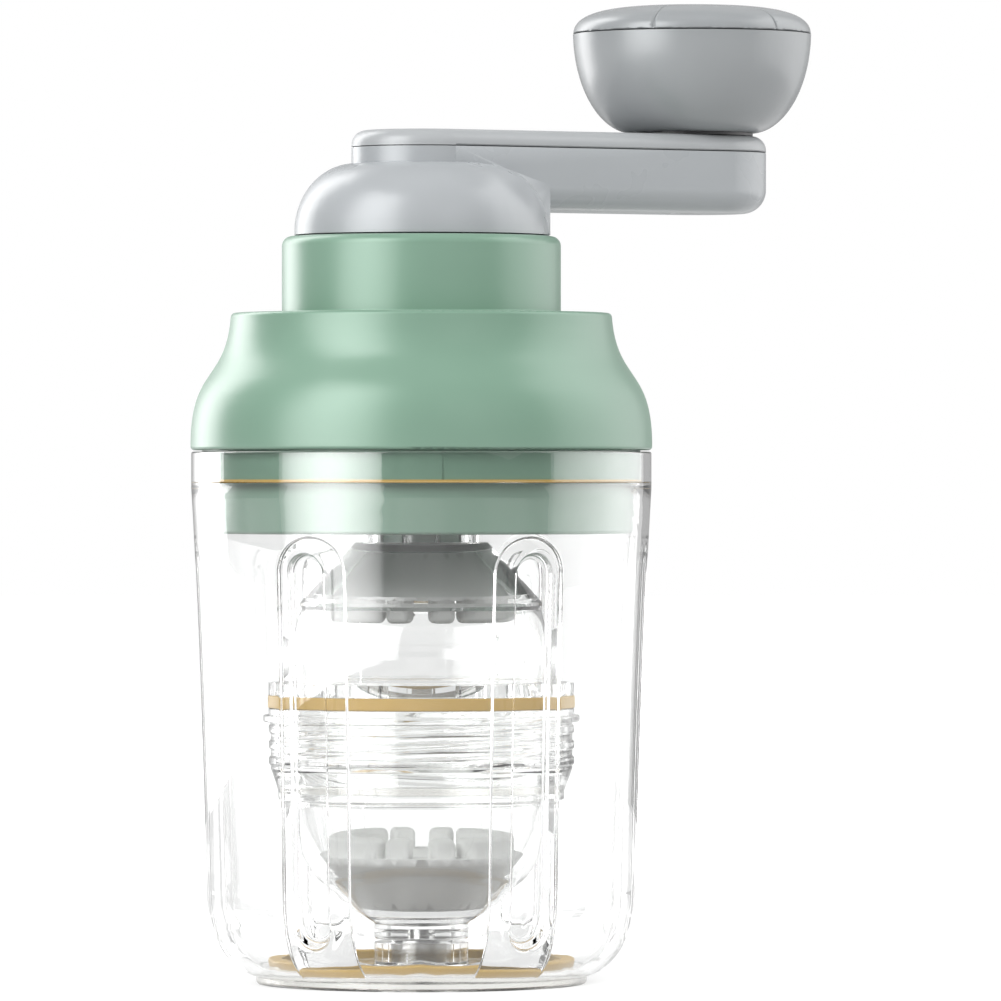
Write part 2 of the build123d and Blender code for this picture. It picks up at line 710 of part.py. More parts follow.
with BuildPart() as capsule_upper:
    with BuildSketch(Plane.XZ):
        with BuildLine():
            Line((0, neck_tip_z), (neck_tip_radius, neck_tip_z))
            Polyline(
                (neck_tip_radius, neck_tip_z),
                (neck_tip_radius, neck_tip_z + neck_tip_length - neck_tip_step),
                (neck_radius, neck_tip_z + neck_tip_length),
                (neck_radius, flange_z),
                (flange_radius - grip_depth, flange_z),
                (flange_radius - grip_depth, flange_top_z),
                (belly_radius, flange_top_z),
            )
            ThreePointArc(
                (belly_radius, flange_top_z),
                (upper_belly_middle, upper_belly_middle_z),
                (upper_belly_radius, brow_z),
            )
            Polyline(
                (upper_belly_radius, brow_z),
                (upper_belly_radius + brow_depth, brow_z + brow_height / 3),
                (upper_belly_radius + brow_depth, brow_z + brow_height * 2 / 3),
                (cone_high_low_radius, cone_high_low_z),
                (cone_top_radius, cone_top_z),
                (cone_top_radius - crown_rim, cone_top_z),
                (cone_top_radius - crown_rim, crown_plate_z),
                (0, crown_plate_z),
                (0, neck_tip_z),
            )
        make_face()
    revolve(axis=Axis.Z)
    with BuildSketch(Plane.XZ):
        with BuildLine():
            Polyline(
                (0, neck_tip_z),
                (neck_bore_radius, neck_tip_z),
                (neck_bore_radius, flange_z - neck_step),
                (egg_room_radius, flange_z),
                (egg_room_radius, flange_top_z),
            )
            ThreePointArc(
                (egg_room_radius, flange_top_z),
                (upper_belly_middle - capsule_wall, upper_belly_middle_z),
                (upper_belly_radius - capsule_wall, brow_z),
            )
            Polyline(
                (upper_belly_radius - capsule_wall, brow_z),
                (cone_low_inner_radius, cone_high_low_z),
                (cone_top_inner_radius, crown_under_z),
                (0, crown_under_z),
                (0, neck_tip_z),
            )
        make_face()
    revolve(axis=Axis.Z, mode=Mode.SUBTRACT)
    # grip lugs round the flange
    with BuildSketch(Plane.XY.offset(flange_z)) as grips:
        with PolarLocations(flange_radius - grip_depth, grip_count, start_angle=180 / grip_count):
            Rectangle(grip_depth * 2, grip_width)
        Circle(flange_radius, mode=Mode.INTERSECT)
        Circle(flange_radius - grip_depth * 1.5, mode=Mode.SUBTRACT)
    extrude(amount=flange_thickness)
    # crown that the lid's dog drives, with one notch for each of its lugs
    turned_ring(crown_radius, crown_radius - crown_wall, crown_plate_z - crown_plate / 2, crown_top_z)
    with BuildSketch(Plane.XY.offset(crown_plate_z)) as notches:
        with PolarLocations(crown_radius, crown_notches):
            Rectangle(crown_wall * 3, dog_lug_width + 2 * turning_gap)
        Circle(cone_top_radius - crown_rim, mode=Mode.INTERSECT)
    extrude(amount=crown_height, mode=Mode.SUBTRACT)
    thread_ridges(neck_radius, collar_bore_radius - moulding_gap, 0, thread_z)
write(capsule_upper, "capsule_upper")


# ================================================================ silicone egg seats
def egg_seat(face_z, upwards, name):
    """One seat: a dished cone of silicone with studs that grip the end of the egg.

    face_z is the height of its flat back, and its studs point up where upwards is true.
    """
    turn = 1 if upwards else -1
    level = Plane(origin=(0, 0, face_z), x_dir=(1, 0, 0), z_dir=(0, 0, turn))
    long_stud_trim = degrees(stud_length / 2 / stud_ring_radius)
    front = -90 * turn
    with BuildPart() as piece:
        with BuildSketch(level):
            Circle(seat_small_radius)
        with BuildSketch(level.offset(seat_height)):
            Circle(seat_large_radius)
        loft()
        with BuildSketch(level.offset(seat_height - seat_dish_depth)):
            Circle(seat_dish_radius / 2)
        with BuildSketch(level.offset(seat_height)):
            Circle(seat_dish_radius)
        loft(mode=Mode.SUBTRACT)
        with BuildSketch(level.offset(seat_height - stud_height / 2)):
            for side in (front, front + 180):
                for angle in (side - stud_angle, side + stud_angle):
                    with PolarLocations(stud_ring_radius, 1, start_angle=angle):
                        RectangleRounded(stud_length, stud_width, stud_width / 4)
            for side in (front + 90, front - 90):
                half_turn = 90 - long_stud_start - long_stud_trim
                middle_line = CenterArc((0, 0), stud_ring_radius, side - half_turn, 2 * half_turn)
                SlotArc(middle_line, stud_length)
        extrude(amount=stud_height * 1.5)
        tops = piece.faces().filter_by(Plane.XY).sort_by(Axis.Z)
        stud_faces = tops[-6:] if upwards else tops[:6]
        fillet(stud_faces.edges(), stud_edge_radius)
    write(piece, name)


seat_back_z = cone_low_z + (seat_small_radius + push_gap - cone_low_radius + cone_inset) * cone_slope
egg_seat(seat_back_z, True, "lower_egg_seat")
egg_seat(crown_under_z, False, "upper_egg_seat")

# ================================================================ lid
with BuildPart() as lid_shell:
    with BuildSketch(Plane.XZ) as lid_skin:
        with BuildLine():
            Line((0, skirt_z), (skirt_radius, skirt_z))
            Bezier(
                (skirt_radius, skirt_z),
                (skirt_radius + skirt_overhang * 2, skirt_z + skirt_upright),
                (shoulder_radius + shoulder_edge_radius, shoulder_z - skirt_hollow),
                (shoulder_radius, shoulder_z),
            )
            Polyline(
                (shoulder_radius, shoulder_z),
                (lid_collar_radius, shoulder_z),
                (lid_collar_radius, lid_top_z),
                (0, lid_top_z),
                (0, skirt_z),
            )
        make_face()
        rounded_corners = [
            ((skirt_radius, skirt_z), skirt_edge_radius),
            ((shoulder_radius, shoulder_z), shoulder_edge_radius),
            ((lid_collar_radius, lid_top_z), collar_edge_radius),
            ((lid_collar_radius, shoulder_z), shoulder_edge_radius / 2),
        ]
        for corner, edge_radius in rounded_corners:
            fillet(lid_skin.vertices().sort_by_distance(corner)[0], edge_radius)
    revolve(axis=Axis.Z)
    with BuildSketch(Plane.XZ):
        with BuildLine():
            Line((0, skirt_z), (skirt_radius - lid_wall, skirt_z))
            Bezier(
                (skirt_radius - lid_wall, skirt_z),
                (skirt_radius - lid_wall, skirt_z + skirt_upright - lid_wall / 2),
                (shoulder_radius + shoulder_edge_radius - lid_wall, shoulder_z - skirt_hollow),
                (shoulder_radius - lid_wall, shoulder_under_z),
            )
            Polyline(
                (shoulder_radius - lid_wall, shoulder_under_z),
                (collar_gear_radius, shoulder_under_z),
                (collar_gear_radius, ring_gear_top_z),
                (collar_ledge_radius, ring_gear_top_z),
                (collar_ledge_radius, top_plate_z),
                (0, top_plate_z),
                (0, skirt_z),
            )
        make_face()
    revolve(axis=Axis.Z, mode=Mode.SUBTRACT)
    lid_boss_places = polar_places(pillar_circle_radius, 3, 90)
    gear_screw_places = polar_places(gear_screw_circle_radius, 3, 60)
    drilled(lid_boss_places, lid_boss_radius, pillar_top_z, shoulder_z - lid_wall / 2, mode=Mode.ADD)
    lid_screw_z = pillar_top_z - pillar_head_depth
    screw_hole_top_z = lid_screw_z + lid_screw_length + turning_gap
    drilled(lid_boss_places, lid_screw_radius + push_gap, pillar_top_z, screw_hole_top_z)
    gear_hole_radius = gear_screw_radius + push_gap
    gear_hole_top_z = top_plate_z - gear_screw_radius
    drilled(gear_screw_places, gear_hole_radius, ring_gear_top_z, gear_hole_top_z)
    turned_ring(hub_bush_radius + push_gap, 0, top_plate_z, lid_top_z, mode=Mode.SUBTRACT)
write(lid_shell, "lid_shell")

with BuildPart() as lid_insert:
    turned(
        (0, insert_z),
        (insert_radius, insert_z),
        (insert_radius, gasket_top_z),
        (band_radius, gasket_top_z),
        (band_radius, gasket_top_z + band_height),
        (band_radius - insert_wall, gasket_top_z + band_height),
        (band_radius - insert_wall, gasket_top_z + insert_wall),
        (insert_radius - insert_wall, gasket_top_z),
        (insert_radius - insert_wall, insert_z + insert_floor),
        (0, insert_z + insert_floor),
    )
    fillet(lid_insert.edges().group_by(Axis.Z)[0].sort_by(SortBy.RADIUS)[-1], insert_wall / 3)
    with BuildSketch(Plane.XY.offset(gasket_top_z)):
        with Locations((0, -band_radius)):
            Rectangle(key_width, insert_wall)
        Circle(band_radius - insert_wall / 2, mode=Mode.SUBTRACT)
        Circle(band_radius + key_depth, mode=Mode.INTERSECT)
    extrude(amount=key_height)
    drilled(lid_boss_places, pillar_radius, insert_z + insert_floor / 2, pillar_top_z, mode=Mode.ADD)
    drilled(lid_boss_places, lid_screw_radius + push_gap, insert_z, pillar_top_z)
    drilled(lid_boss_places, lid_screw_head_radius + moulding_gap, insert_z, lid_screw_z)
    turned_ring(tube_radius, 0, insert_z + insert_floor / 2, tube_top_z)
    turned_ring(tube_bore_radius, 0, insert_z, tube_top_z, mode=Mode.SUBTRACT)
write(lid_insert, "lid_insert")

with BuildPart() as lid_screws:
    drilled(lid_boss_places, lid_screw_radius, lid_screw_z, lid_screw_z + lid_screw_length, mode=Mode.ADD)
    head_z = lid_screw_z - lid_screw_head_height
    drilled(lid_boss_places, lid_screw_head_radius, head_z, lid_screw_z, mode=Mode.ADD)
    with BuildSketch(Plane.XY.offset(head_z)):
        with Locations(*lid_boss_places):
            Rectangle(lid_screw_head_radius, lid_screw_radius / 2)
            Rectangle(lid_screw_radius / 2, lid_screw_head_radius)
    extrude(amount=lid_screw_head_height / 2, mode=Mode.SUBTRACT)
write(lid_screws, "lid_screws")

with BuildPart() as screw_plugs:
    plug_radius = lid_screw_head_radius + moulding_gap - push_gap
    drilled(lid_boss_places, plug_radius, insert_z, insert_z + plug_thickness, mode=Mode.ADD)
write(screw_plugs, "screw_plugs")

# ================================================================ planetary gears
with BuildPart() as ring_gear:
    with BuildSketch(Plane.XY.offset(ring_gear_z)) as ring_gear_face:
        Circle(ring_gear_radius)
        with BuildLine(mode=Mode.PRIVATE) as ring_teeth_line:
            gear_outline(
                ring_teeth,
                gear_module * (ring_teeth / 2 + root_depth),
                gear_module * (ring_teeth / 2 - 1),
                backlash,
            )
        make_face(ring_teeth_line.line.edges(), mode=Mode.SUBTRACT)
    extrude(amount=ring_gear_height)
    drilled(gear_screw_places, gear_hole_radius, ring_gear_z, ring_gear_top_z)
write(ring_gear, "ring_gear")

with BuildPart() as sun_gear:
    with BuildSketch(Plane.XY.offset(planet_z)):
        with BuildLine():
            gear_outline(
                sun_teeth,
                gear_module * (sun_teeth / 2 + 1),
                gear_module * (sun_teeth / 2 - root_depth),
                -backlash,
            )
        make_face()
        Circle(output_shaft_radius + push_gap / 2, mode=Mode.SUBTRACT)
    extrude(amount=sun_top_z - planet_z)
write(sun_gear, "sun_gear")

planet_places = polar_places(planet_circle_radius, planet_count, 0)

with BuildPart() as planet_gear:
    with BuildSketch(Plane.XY.offset(planet_z)):
        with BuildLine():
            gear_outline(
                planet_teeth,
                gear_module * (planet_teeth / 2 + 1),
                gear_module * (planet_teeth / 2 - root_depth),
                -backlash,
            )
        make_face()
        Circle(planet_pin_radius + shaft_gap, mode=Mode.SUBTRACT)
    extrude(amount=planet_top_z - planet_z)

for number in range(planet_count):
    with BuildPart() as planet_copy:
        turn = 360 * number / planet_count
        place = Location((planet_places[number][0], planet_places[number][1], 0), (0, 0, turn))
        add(planet_gear.part.moved(place))
    write(planet_copy, f"planet_gear_{number + 1}")

with BuildPart() as gearbox_floor:
    turned_ring(ring_gear_radius, tube_bore_radius, gear_floor_z, ring_gear_z)
    drilled(gear_screw_places, gear_hole_radius, gear_floor_z, ring_gear_z)
write(gearbox_floor, "gearbox_floor")

with BuildPart() as gearbox_screws:
    gear_screw_top_z = gear_hole_top_z - gear_screw_radius
    drilled(gear_screw_places, gear_screw_radius, gear_floor_z, gear_screw_top_z, mode=Mode.ADD)
    head_z = gear_floor_z - gear_screw_head_height
    drilled(gear_screw_places, gear_screw_head_radius, head_z, gear_floor_z, mode=Mode.ADD)
write(gearbox_screws, "gearbox_screws")

with BuildPart() as planet_carrier:
    turned_ring(carrier_radius, 0, carrier_z, carrier_top_z)
    drilled(planet_places, planet_pin_radius + push_gap / 2, carrier_z, carrier_top_z)
    drilled([(0, 0)], hub_screw_radius + push_gap / 2, carrier_z, carrier_top_z)
write(planet_carrier, "planet_carrier")

with BuildPart() as planet_pins:
    drilled(planet_places, planet_pin_radius, planet_z, carrier_top_z, mode=Mode.ADD)
write(planet_pins, "planet_pins")

# ================================================================ output shaft and dog
shaft_z = dog_top_z - dog_thickness / 2
clip_z = tube_top_z + push_gap

with BuildPart() as output_shaft:
    turned_ring(output_shaft_radius, 0, shaft_z, sun_top_z)
    turned_ring(
        output_shaft_radius,
        output_shaft_radius - clip_groove,
        clip_z - push_gap / 2,
        clip_z + clip_thickness + push_gap / 2,
        mode=Mode.SUBTRACT,
    )
write(output_shaft, "output_shaft")

with BuildPart() as shaft_clip:
    clip_bore_radius = output_shaft_radius - clip_groove + push_gap / 2
    turned_ring(clip_radius, clip_bore_radius, clip_z, clip_z + clip_thickness)
    with BuildSketch(Plane.XY.offset(clip_z)):
        with Locations((clip_radius / 2, 0)):
            Rectangle(clip_radius, output_shaft_radius)
    extrude(amount=clip_thickness, mode=Mode.SUBTRACT)
write(shaft_clip, "shaft_clip")


def shaft_bush(low, high, name):
    """A plain bush for the output shaft between two heights."""
    with BuildPart() as bush:
        turned_ring(tube_bore_radius - push_gap, output_shaft_radius + shaft_gap, low, high)
    write(bush, name)


shaft_bush(gear_floor_z, ring_gear_z, "upper_shaft_bush")
shaft_bush(tube_top_z - bush_length, tube_top_z, "lower_shaft_bush")

with BuildPart() as drive_dog:
    dog_radius = crown_radius - crown_wall - turning_gap
    turned_ring(dog_radius, 0, dog_z, dog_top_z)
    with BuildSketch(Plane.XY.offset(dog_z)):
        with PolarLocations(dog_radius, crown_notches):
            Rectangle(crown_wall * 2, dog_lug_width)
        Circle(crown_radius - turning_gap, mode=Mode.INTERSECT)
        Circle(dog_radius / 2, mode=Mode.SUBTRACT)
    extrude(amount=dog_thickness)
    turned_ring(dog_hub_radius, 0, dog_top_z, dog_top_z + dog_hub_height)
    shaft_hole_radius = output_shaft_radius + push_gap / 2
    turned_ring(shaft_hole_radius, 0, shaft_z, dog_top_z + dog_hub_height, mode=Mode.SUBTRACT)
write(drive_dog, "drive_dog")

# ================================================================ crank
arm_middle = arm_length / 2
arm_width = 2 * arm_half_width

with BuildPart() as arm_block:
    with BuildSketch(arm_plane(arm_z)):
        with Locations((arm_middle, 0)):
            SlotCenterToCenter(arm_length, arm_width)
    extrude(amount=arm_height)
    fillet(arm_block.edges().group_by(Axis.Z)[0], arm_edge_radius)

with BuildPart() as dome_room:
    room_top_z = dome_top_z - crank_wall
    room_radius = dome_radius - crank_wall
    room_round_width = dome_round_width - crank_wall
    with BuildSketch(Plane.XZ):
        with BuildLine():
            Polyline(
                (0, room_top_z),
                (0, dome_z),
                (room_radius, dome_z),
                (room_radius, dome_top_z - dome_round_height),
            )
            EllipticalCenterArc(
                (room_radius - room_round_width, dome_top_z - dome_round_height),
                room_round_width,
                dome_round_height - crank_wall,
                start_angle=0,
                arc_size=90,
            )
            Line((room_radius - room_round_width, room_top_z), (0, room_top_z))
        make_face()
    revolve(axis=Axis.Z)
    add(arm_block.part, mode=Mode.SUBTRACT)

with BuildPart() as crank_body:
    with BuildSketch(Plane.XZ):
        with BuildLine():
            Polyline(
                (0, dome_top_z),
                (0, dome_z),
                (dome_radius, dome_z),
                (dome_radius, dome_top_z - dome_round_height),
            )
            EllipticalCenterArc(
                (dome_radius - dome_round_width, dome_top_z - dome_round_height),
                dome_round_width,
                dome_round_height,
                start_angle=0,
                arc_size=90,
            )
            Line((dome_radius - dome_round_width, dome_top_z), (0, dome_top_z))
        make_face()
    revolve(axis=Axis.Z)
    # the web under the arm keeps upright where the dome rounds away
    with BuildSketch(arm_plane(dome_z)):
        with Locations((dome_radius / 2, 0)):
            Rectangle(dome_radius + 2 * web_reach, arm_width)
        Circle(dome_radius + web_reach, mode=Mode.INTERSECT)
    extrude(amount=arm_lift + arm_edge_radius)
    add(arm_block.part)
    add(dome_room.part, mode=Mode.SUBTRACT)
    with BuildSketch(arm_plane(arm_z + crank_wall)):
        with Locations((arm_middle, 0)):
            SlotCenterToCenter(arm_length, arm_width - 2 * crank_wall)
    extrude(amount=arm_height, mode=Mode.SUBTRACT)
    turned_ring(hub_boss_radius, 0, carrier_top_z, arm_z + crank_wall + hub_screw_head_height)
    turned_ring(hub_screw_head_radius + push_gap, 0, arm_z + crank_wall, arm_top_z, mode=Mode.SUBTRACT)
    turned_ring(hub_screw_radius + push_gap, 0, carrier_top_z, arm_top_z, mode=Mode.SUBTRACT)
    turned_ring(knob_axle_radius * 2, 0, arm_z + crank_wall / 2, arm_top_z, centre=knob_centre)
    axle_hole_radius = knob_axle_radius + push_gap / 2
    turned_ring(axle_hole_radius, 0, knob_axle_z, arm_top_z, centre=knob_centre, mode=Mode.SUBTRACT)
write(crank_body, "crank_body")

with BuildPart() as arm_cover:
    with BuildSketch(arm_plane(cover_z)):
        with Locations((arm_middle, 0)):
            SlotCenterToCenter(arm_length, arm_width)
    extrude(amount=cover_thickness)
    fillet(arm_cover.edges().group_by(Axis.Z)[-1], cover_edge_radius)
    lip_width = arm_width - 2 * (crank_wall + moulding_gap)
    with BuildSketch(arm_plane(cover_z - cover_lip_height)):
        with Locations((arm_middle, 0)):
            SlotCenterToCenter(arm_length, lip_width)
            SlotCenterToCenter(arm_length, lip_width - 2 * cover_lip_wall, mode=Mode.SUBTRACT)
    extrude(amount=cover_lip_height)
    cover_hole_radius = knob_axle_radius + moulding_gap
    turned_ring(cover_hole_radius, 0, arm_z, cover_top_z, centre=knob_centre, mode=Mode.SUBTRACT)
write(arm_cover, "arm_cover")

with BuildPart() as hub_screw:
    hub_screw_top_z = arm_z + crank_wall
    turned_ring(hub_screw_radius, 0, carrier_z, hub_screw_top_z)
    turned_ring(hub_screw_head_radius, 0, hub_screw_top_z, hub_screw_top_z + hub_screw_head_height)
    with BuildSketch(Plane.XY.offset(hub_screw_top_z + hub_screw_head_height / 2)):
        RegularPolygon(hub_screw_radius, 6)
    extrude(amount=hub_screw_head_height, mode=Mode.SUBTRACT)
write(hub_screw, "hub_screw")

with BuildPart() as hub_bush:
    turned_ring(hub_bush_radius, hub_boss_radius + shaft_gap, top_plate_z - hub_bush_flange, lid_top_z)
    turned_ring(
        hub_bush_radius + hub_bush_wall,
        hub_boss_radius + shaft_gap,
        top_plate_z - hub_bush_flange,
        top_plate_z,
    )
write(hub_bush, "hub_bush")

# ================================================================ knob
knob_bush_radius = knob_axle_radius + shaft_gap + knob_bush_wall
knob_tube_radius = knob_bush_radius + push_gap + knob_tube_wall
knob_tube_top_z = knob_base_z + knob_tube_height
knob_upright = Plane(origin=(knob_centre[0], knob_centre[1], 0), x_dir=(1, 0, 0), z_dir=(0, -1, 0))
knob_axis = Axis((knob_centre[0], knob_centre[1], 0), (0, 0, 1))

with BuildPart() as knob_washer:
    turned_ring(
        knob_base_radius - turning_gap,
        knob_axle_radius + shaft_gap,
        knob_washer_z,
        knob_washer_z + knob_washer_thickness,
        centre=knob_centre,
    )
write(knob_washer, "knob_washer")

with BuildPart() as knob_bowl:
    with BuildSketch(knob_upright):
        with BuildLine():
            Line((0, knob_base_z), (knob_base_radius, knob_base_z))
            Bezier(
                (knob_base_radius, knob_base_z),
                (knob_base_radius + bowl_low_reach, knob_base_z + seam_gap),
                (knob_radius - seam_gap * 2, knob_base_z + bowl_side_reach),
                (knob_radius, knob_bowl_top_z),
            )
            Polyline((knob_radius, knob_bowl_top_z), (0, knob_bowl_top_z), (0, knob_base_z))
        make_face()
    revolve(axis=knob_axis)
    with BuildSketch(knob_upright):
        with BuildLine():
            Line((0, knob_base_z + knob_wall), (knob_base_radius, knob_base_z + knob_wall))
            Bezier(
                (knob_base_radius, knob_base_z + knob_wall),
                (knob_base_radius + bowl_low_reach - knob_wall / 2, knob_base_z + knob_wall + seam_gap),
                (knob_radius - knob_wall - seam_gap * 2, knob_base_z + bowl_side_reach + knob_wall / 2),
                (knob_radius - knob_wall, knob_bowl_top_z),
            )
            Polyline(
                (knob_radius - knob_wall, knob_bowl_top_z),
                (0, knob_bowl_top_z),
                (0, knob_base_z + knob_wall),
            )
        make_face()
    revolve(axis=knob_axis, mode=Mode.SUBTRACT)
    turned_ring(knob_tube_radius, 0, knob_base_z, knob_tube_top_z, centre=knob_centre)
    tube_hole_radius = knob_bush_radius + push_gap
    turned_ring(tube_hole_radius, 0, knob_base_z, knob_tube_top_z, centre=knob_centre, mode=Mode.SUBTRACT)
write(knob_bowl, "knob_bowl")

with BuildPart() as knob_bush:
    bush_bore_radius = knob_axle_radius + shaft_gap
    turned_ring(knob_bush_radius, bush_bore_radius, knob_base_z, knob_tube_top_z, centre=knob_centre)
write(knob_bush, "knob_bush")

with BuildPart() as knob_axle:
    turned_ring(knob_axle_radius, 0, knob_axle_z, knob_axle_top_z, centre=knob_centre)
    knob_screw_low_z = knob_axle_top_z - knob_screw_length
    hole_radius = knob_screw_radius + push_gap / 2
    hole_z = knob_screw_low_z - push_gap
    turned_ring(hole_radius, 0, hole_z, knob_axle_top_z, centre=knob_centre, mode=Mode.SUBTRACT)
write(knob_axle, "knob_axle")

with BuildPart() as knob_screw:
    turned_ring(knob_screw_radius, 0, knob_screw_low_z, knob_axle_top_z, centre=knob_centre)
    knob_screw_top_z = knob_axle_top_z + knob_screw_head_height
    turned_ring(knob_screw_head_radius, 0, knob_axle_top_z, knob_screw_top_z, centre=knob_centre)
    with BuildSketch(knob_plane(knob_axle_top_z + knob_screw_head_height / 2)):
        Rectangle(knob_screw_radius * 2, knob_screw_radius / 2)
        Rectangle(knob_screw_radius / 2, knob_screw_radius * 2)
    extrude(amount=knob_screw_head_height, mode=Mode.SUBTRACT)
write(knob_screw, "knob_screw")

cap_radius = knob_radius - seam_gap / 2


def cap_turned(drop, mode=Mode.ADD):
    """Turn the cap's domed form about the knob's axis, lowered by a drop."""
    low = knob_cap_z - drop
    top = knob_top_z - drop
    with BuildSketch(knob_upright) as outline:
        with BuildLine():
            Line((0, low), (cap_radius, low))
            Bezier(
                (cap_radius, low),
                (cap_radius, low + cap_rise),
                (cap_shoulder_radius, top),
                (knob_flat_radius, top),
            )
            Polyline((knob_flat_radius, top), (0, top), (0, low))
        make_face()
    revolve(outline.sketch, axis=knob_axis, mode=mode)


# the shallow groove of the cap's tab: two sides that run in from the rim, and an arc between them
with BuildPart() as tab_groove_cut:
    with BuildSketch(knob_plane(knob_cap_z)):
        tab_angles = [radians(tab_angle - 90 + tab_half_angle * side) for side in (-1, 0, 1)]
        rim_ends = [(cap_radius * 1.1 * cos(angle), cap_radius * 1.1 * sin(angle)) for angle in tab_angles]
        arc_ends = [(tab_inner_radius * cos(angle), tab_inner_radius * sin(angle)) for angle in tab_angles]
        with BuildLine():
            Line(rim_ends[0], arc_ends[0])
            ThreePointArc(*arc_ends)
            Line(arc_ends[2], rim_ends[2])
        trace(line_width=tab_groove)
    extrude(amount=knob_cap_height * 1.5)
    cap_turned(tab_groove, mode=Mode.SUBTRACT)

with BuildPart() as knob_cap:
    cap_turned(0)
    plug_radius = knob_radius - knob_wall - turning_gap * 2
    plug_bore_radius = plug_radius - cap_plug_wall
    cap_room_z = knob_top_z - cap_thickness
    plug_z = knob_cap_z - cap_plug_height
    turned_ring(plug_radius, 0, plug_z, knob_cap_z, centre=knob_centre)
    turned_ring(plug_bore_radius, 0, plug_z, cap_room_z, centre=knob_centre, mode=Mode.SUBTRACT)
    add(tab_groove_cut.part, mode=Mode.SUBTRACT)
write(knob_cap, "knob_cap")

# ---------------------------------------------------------------- what was made
print(f"jar rim at {jar_rim_z:.2f}, lid top at {lid_top_z:.2f}, dome top at {dome_top_z:.2f}")
print(f"arm top at {cover_top_z:.2f}, knob top at {knob_top_z:.2f}")
print(f"capsule rim radius {rim_radius:.2f}, jar rim radius {jar_rim_radius:.2f}")
print(f"radius of the lid's collar {lid_collar_radius:.2f}")
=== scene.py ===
# %% [markdown]
# # A hand cranked egg spinner
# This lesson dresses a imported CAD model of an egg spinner: a clear fluted jar, a clear
# screw-together capsule, a green lid with gears in it, and a grey crank with a bowl-shaped knob.
# The CAD model is the frame. Each CAD node keeps its place and size, and this script gives the
# surfaces their finish, rounds what is rounded on the real thing, and sets up the studio.
# Sizes are written in millimetres for the object and in metres for the studio.

import bpy
import json
import math
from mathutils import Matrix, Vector

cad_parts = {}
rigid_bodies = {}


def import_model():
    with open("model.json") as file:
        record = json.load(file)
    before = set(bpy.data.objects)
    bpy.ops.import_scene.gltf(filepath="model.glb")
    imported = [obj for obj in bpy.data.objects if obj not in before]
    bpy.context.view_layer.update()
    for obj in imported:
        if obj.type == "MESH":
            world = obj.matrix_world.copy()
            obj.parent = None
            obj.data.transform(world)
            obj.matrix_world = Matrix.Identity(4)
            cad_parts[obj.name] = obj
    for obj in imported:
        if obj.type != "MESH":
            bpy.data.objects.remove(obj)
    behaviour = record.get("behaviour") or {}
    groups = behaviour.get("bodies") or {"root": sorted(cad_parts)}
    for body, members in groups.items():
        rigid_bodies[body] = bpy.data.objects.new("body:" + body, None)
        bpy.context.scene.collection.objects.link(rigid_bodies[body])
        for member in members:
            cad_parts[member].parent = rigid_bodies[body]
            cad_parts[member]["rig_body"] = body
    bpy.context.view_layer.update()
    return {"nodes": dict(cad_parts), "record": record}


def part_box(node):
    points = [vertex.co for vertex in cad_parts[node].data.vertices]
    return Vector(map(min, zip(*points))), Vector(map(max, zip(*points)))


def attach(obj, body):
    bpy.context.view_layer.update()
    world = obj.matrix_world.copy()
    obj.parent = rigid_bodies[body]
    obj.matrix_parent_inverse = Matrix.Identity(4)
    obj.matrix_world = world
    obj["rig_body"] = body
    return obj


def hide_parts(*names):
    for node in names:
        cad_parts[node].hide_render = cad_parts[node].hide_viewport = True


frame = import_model()
MM = 0.001

# %% [markdown]
# ## Camera
# The photo is a product picture taken from far away with a long lens, a little below the lid's
# rim. The camera stands 1.88 m in front of the jar and looks along +Y. A pixel of the square
# photo is worth one 9000th of the distance, which fixes the lens for a 36 mm sensor.

# %% Camera
PHOTO_SIDE_PX = 1001
FOCAL_PX = 9000
SENSOR_MM = 36.0
CAMERA_PLACE = Vector((16.5, -1878.0, 106.0)) * MM
HORIZON_PX = 475.0        # height in the photo of what is level with the camera

camera = bpy.data.objects.new("camera", bpy.data.cameras.new("camera"))
bpy.context.scene.collection.objects.link(camera)
bpy.context.scene.camera = camera
camera.data.sensor_width = SENSOR_MM
camera.data.lens = SENSOR_MM * FOCAL_PX / PHOTO_SIDE_PX
camera.data.clip_end = 100.0
camera.location = CAMERA_PLACE
tilt_down = math.atan2(PHOTO_SIDE_PX / 2 - HORIZON_PX, FOCAL_PX)
camera.rotation_euler = (math.pi / 2 - tilt_down, 0.0, 0.0)
print(f"lens {camera.data.lens:.1f} mm, tilted down {math.degrees(tilt_down):.2f} degrees")

# %% [markdown]
# ## Helpers for modelling
# Every new piece starts as a primitive or an outline and is shaped with operators. An operator
# works on all that is selected, and loading the frame leaves the CAD nodes selected, so
# everything is deselected first.

# %% Selection and finishing helpers
def deselect_all():
    """Leave edit mode and deselect every object."""
    if bpy.context.object and bpy.context.object.mode != "OBJECT":
        bpy.ops.object.mode_set(mode="OBJECT")
    bpy.ops.object.select_all(action="DESELECT")


def pick(piece):
    """Make one object the only selected and active one."""
    deselect_all()
    piece.select_set(True)
    bpy.context.view_layer.objects.active = piece
    return piece


def apply_modifiers(piece):
    """Apply all modifiers of a piece, in order."""
    pick(piece)
    for modifier in list(piece.modifiers):
        bpy.ops.object.modifier_apply(modifier=modifier.name)


deselect_all()
print("selected:", len(bpy.context.selected_objects))

# %% [markdown]
# ## Smooth copies of CAD pieces
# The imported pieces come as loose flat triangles. A turned or moulded surface needs shared
# vertices to shade smoothly, and clear plastic needs them even more, because each flat triangle
# would bend the light by itself. A copy is merged, and only its real edges stay sharp.
#
# Long thin triangles on a cylinder still shade in streaks, because their averaged normals tilt to
# and fro. On the real piece the normal points straight away from the axis, so upright faces whose
# corners all lie at one distance from the axis are given exactly that.

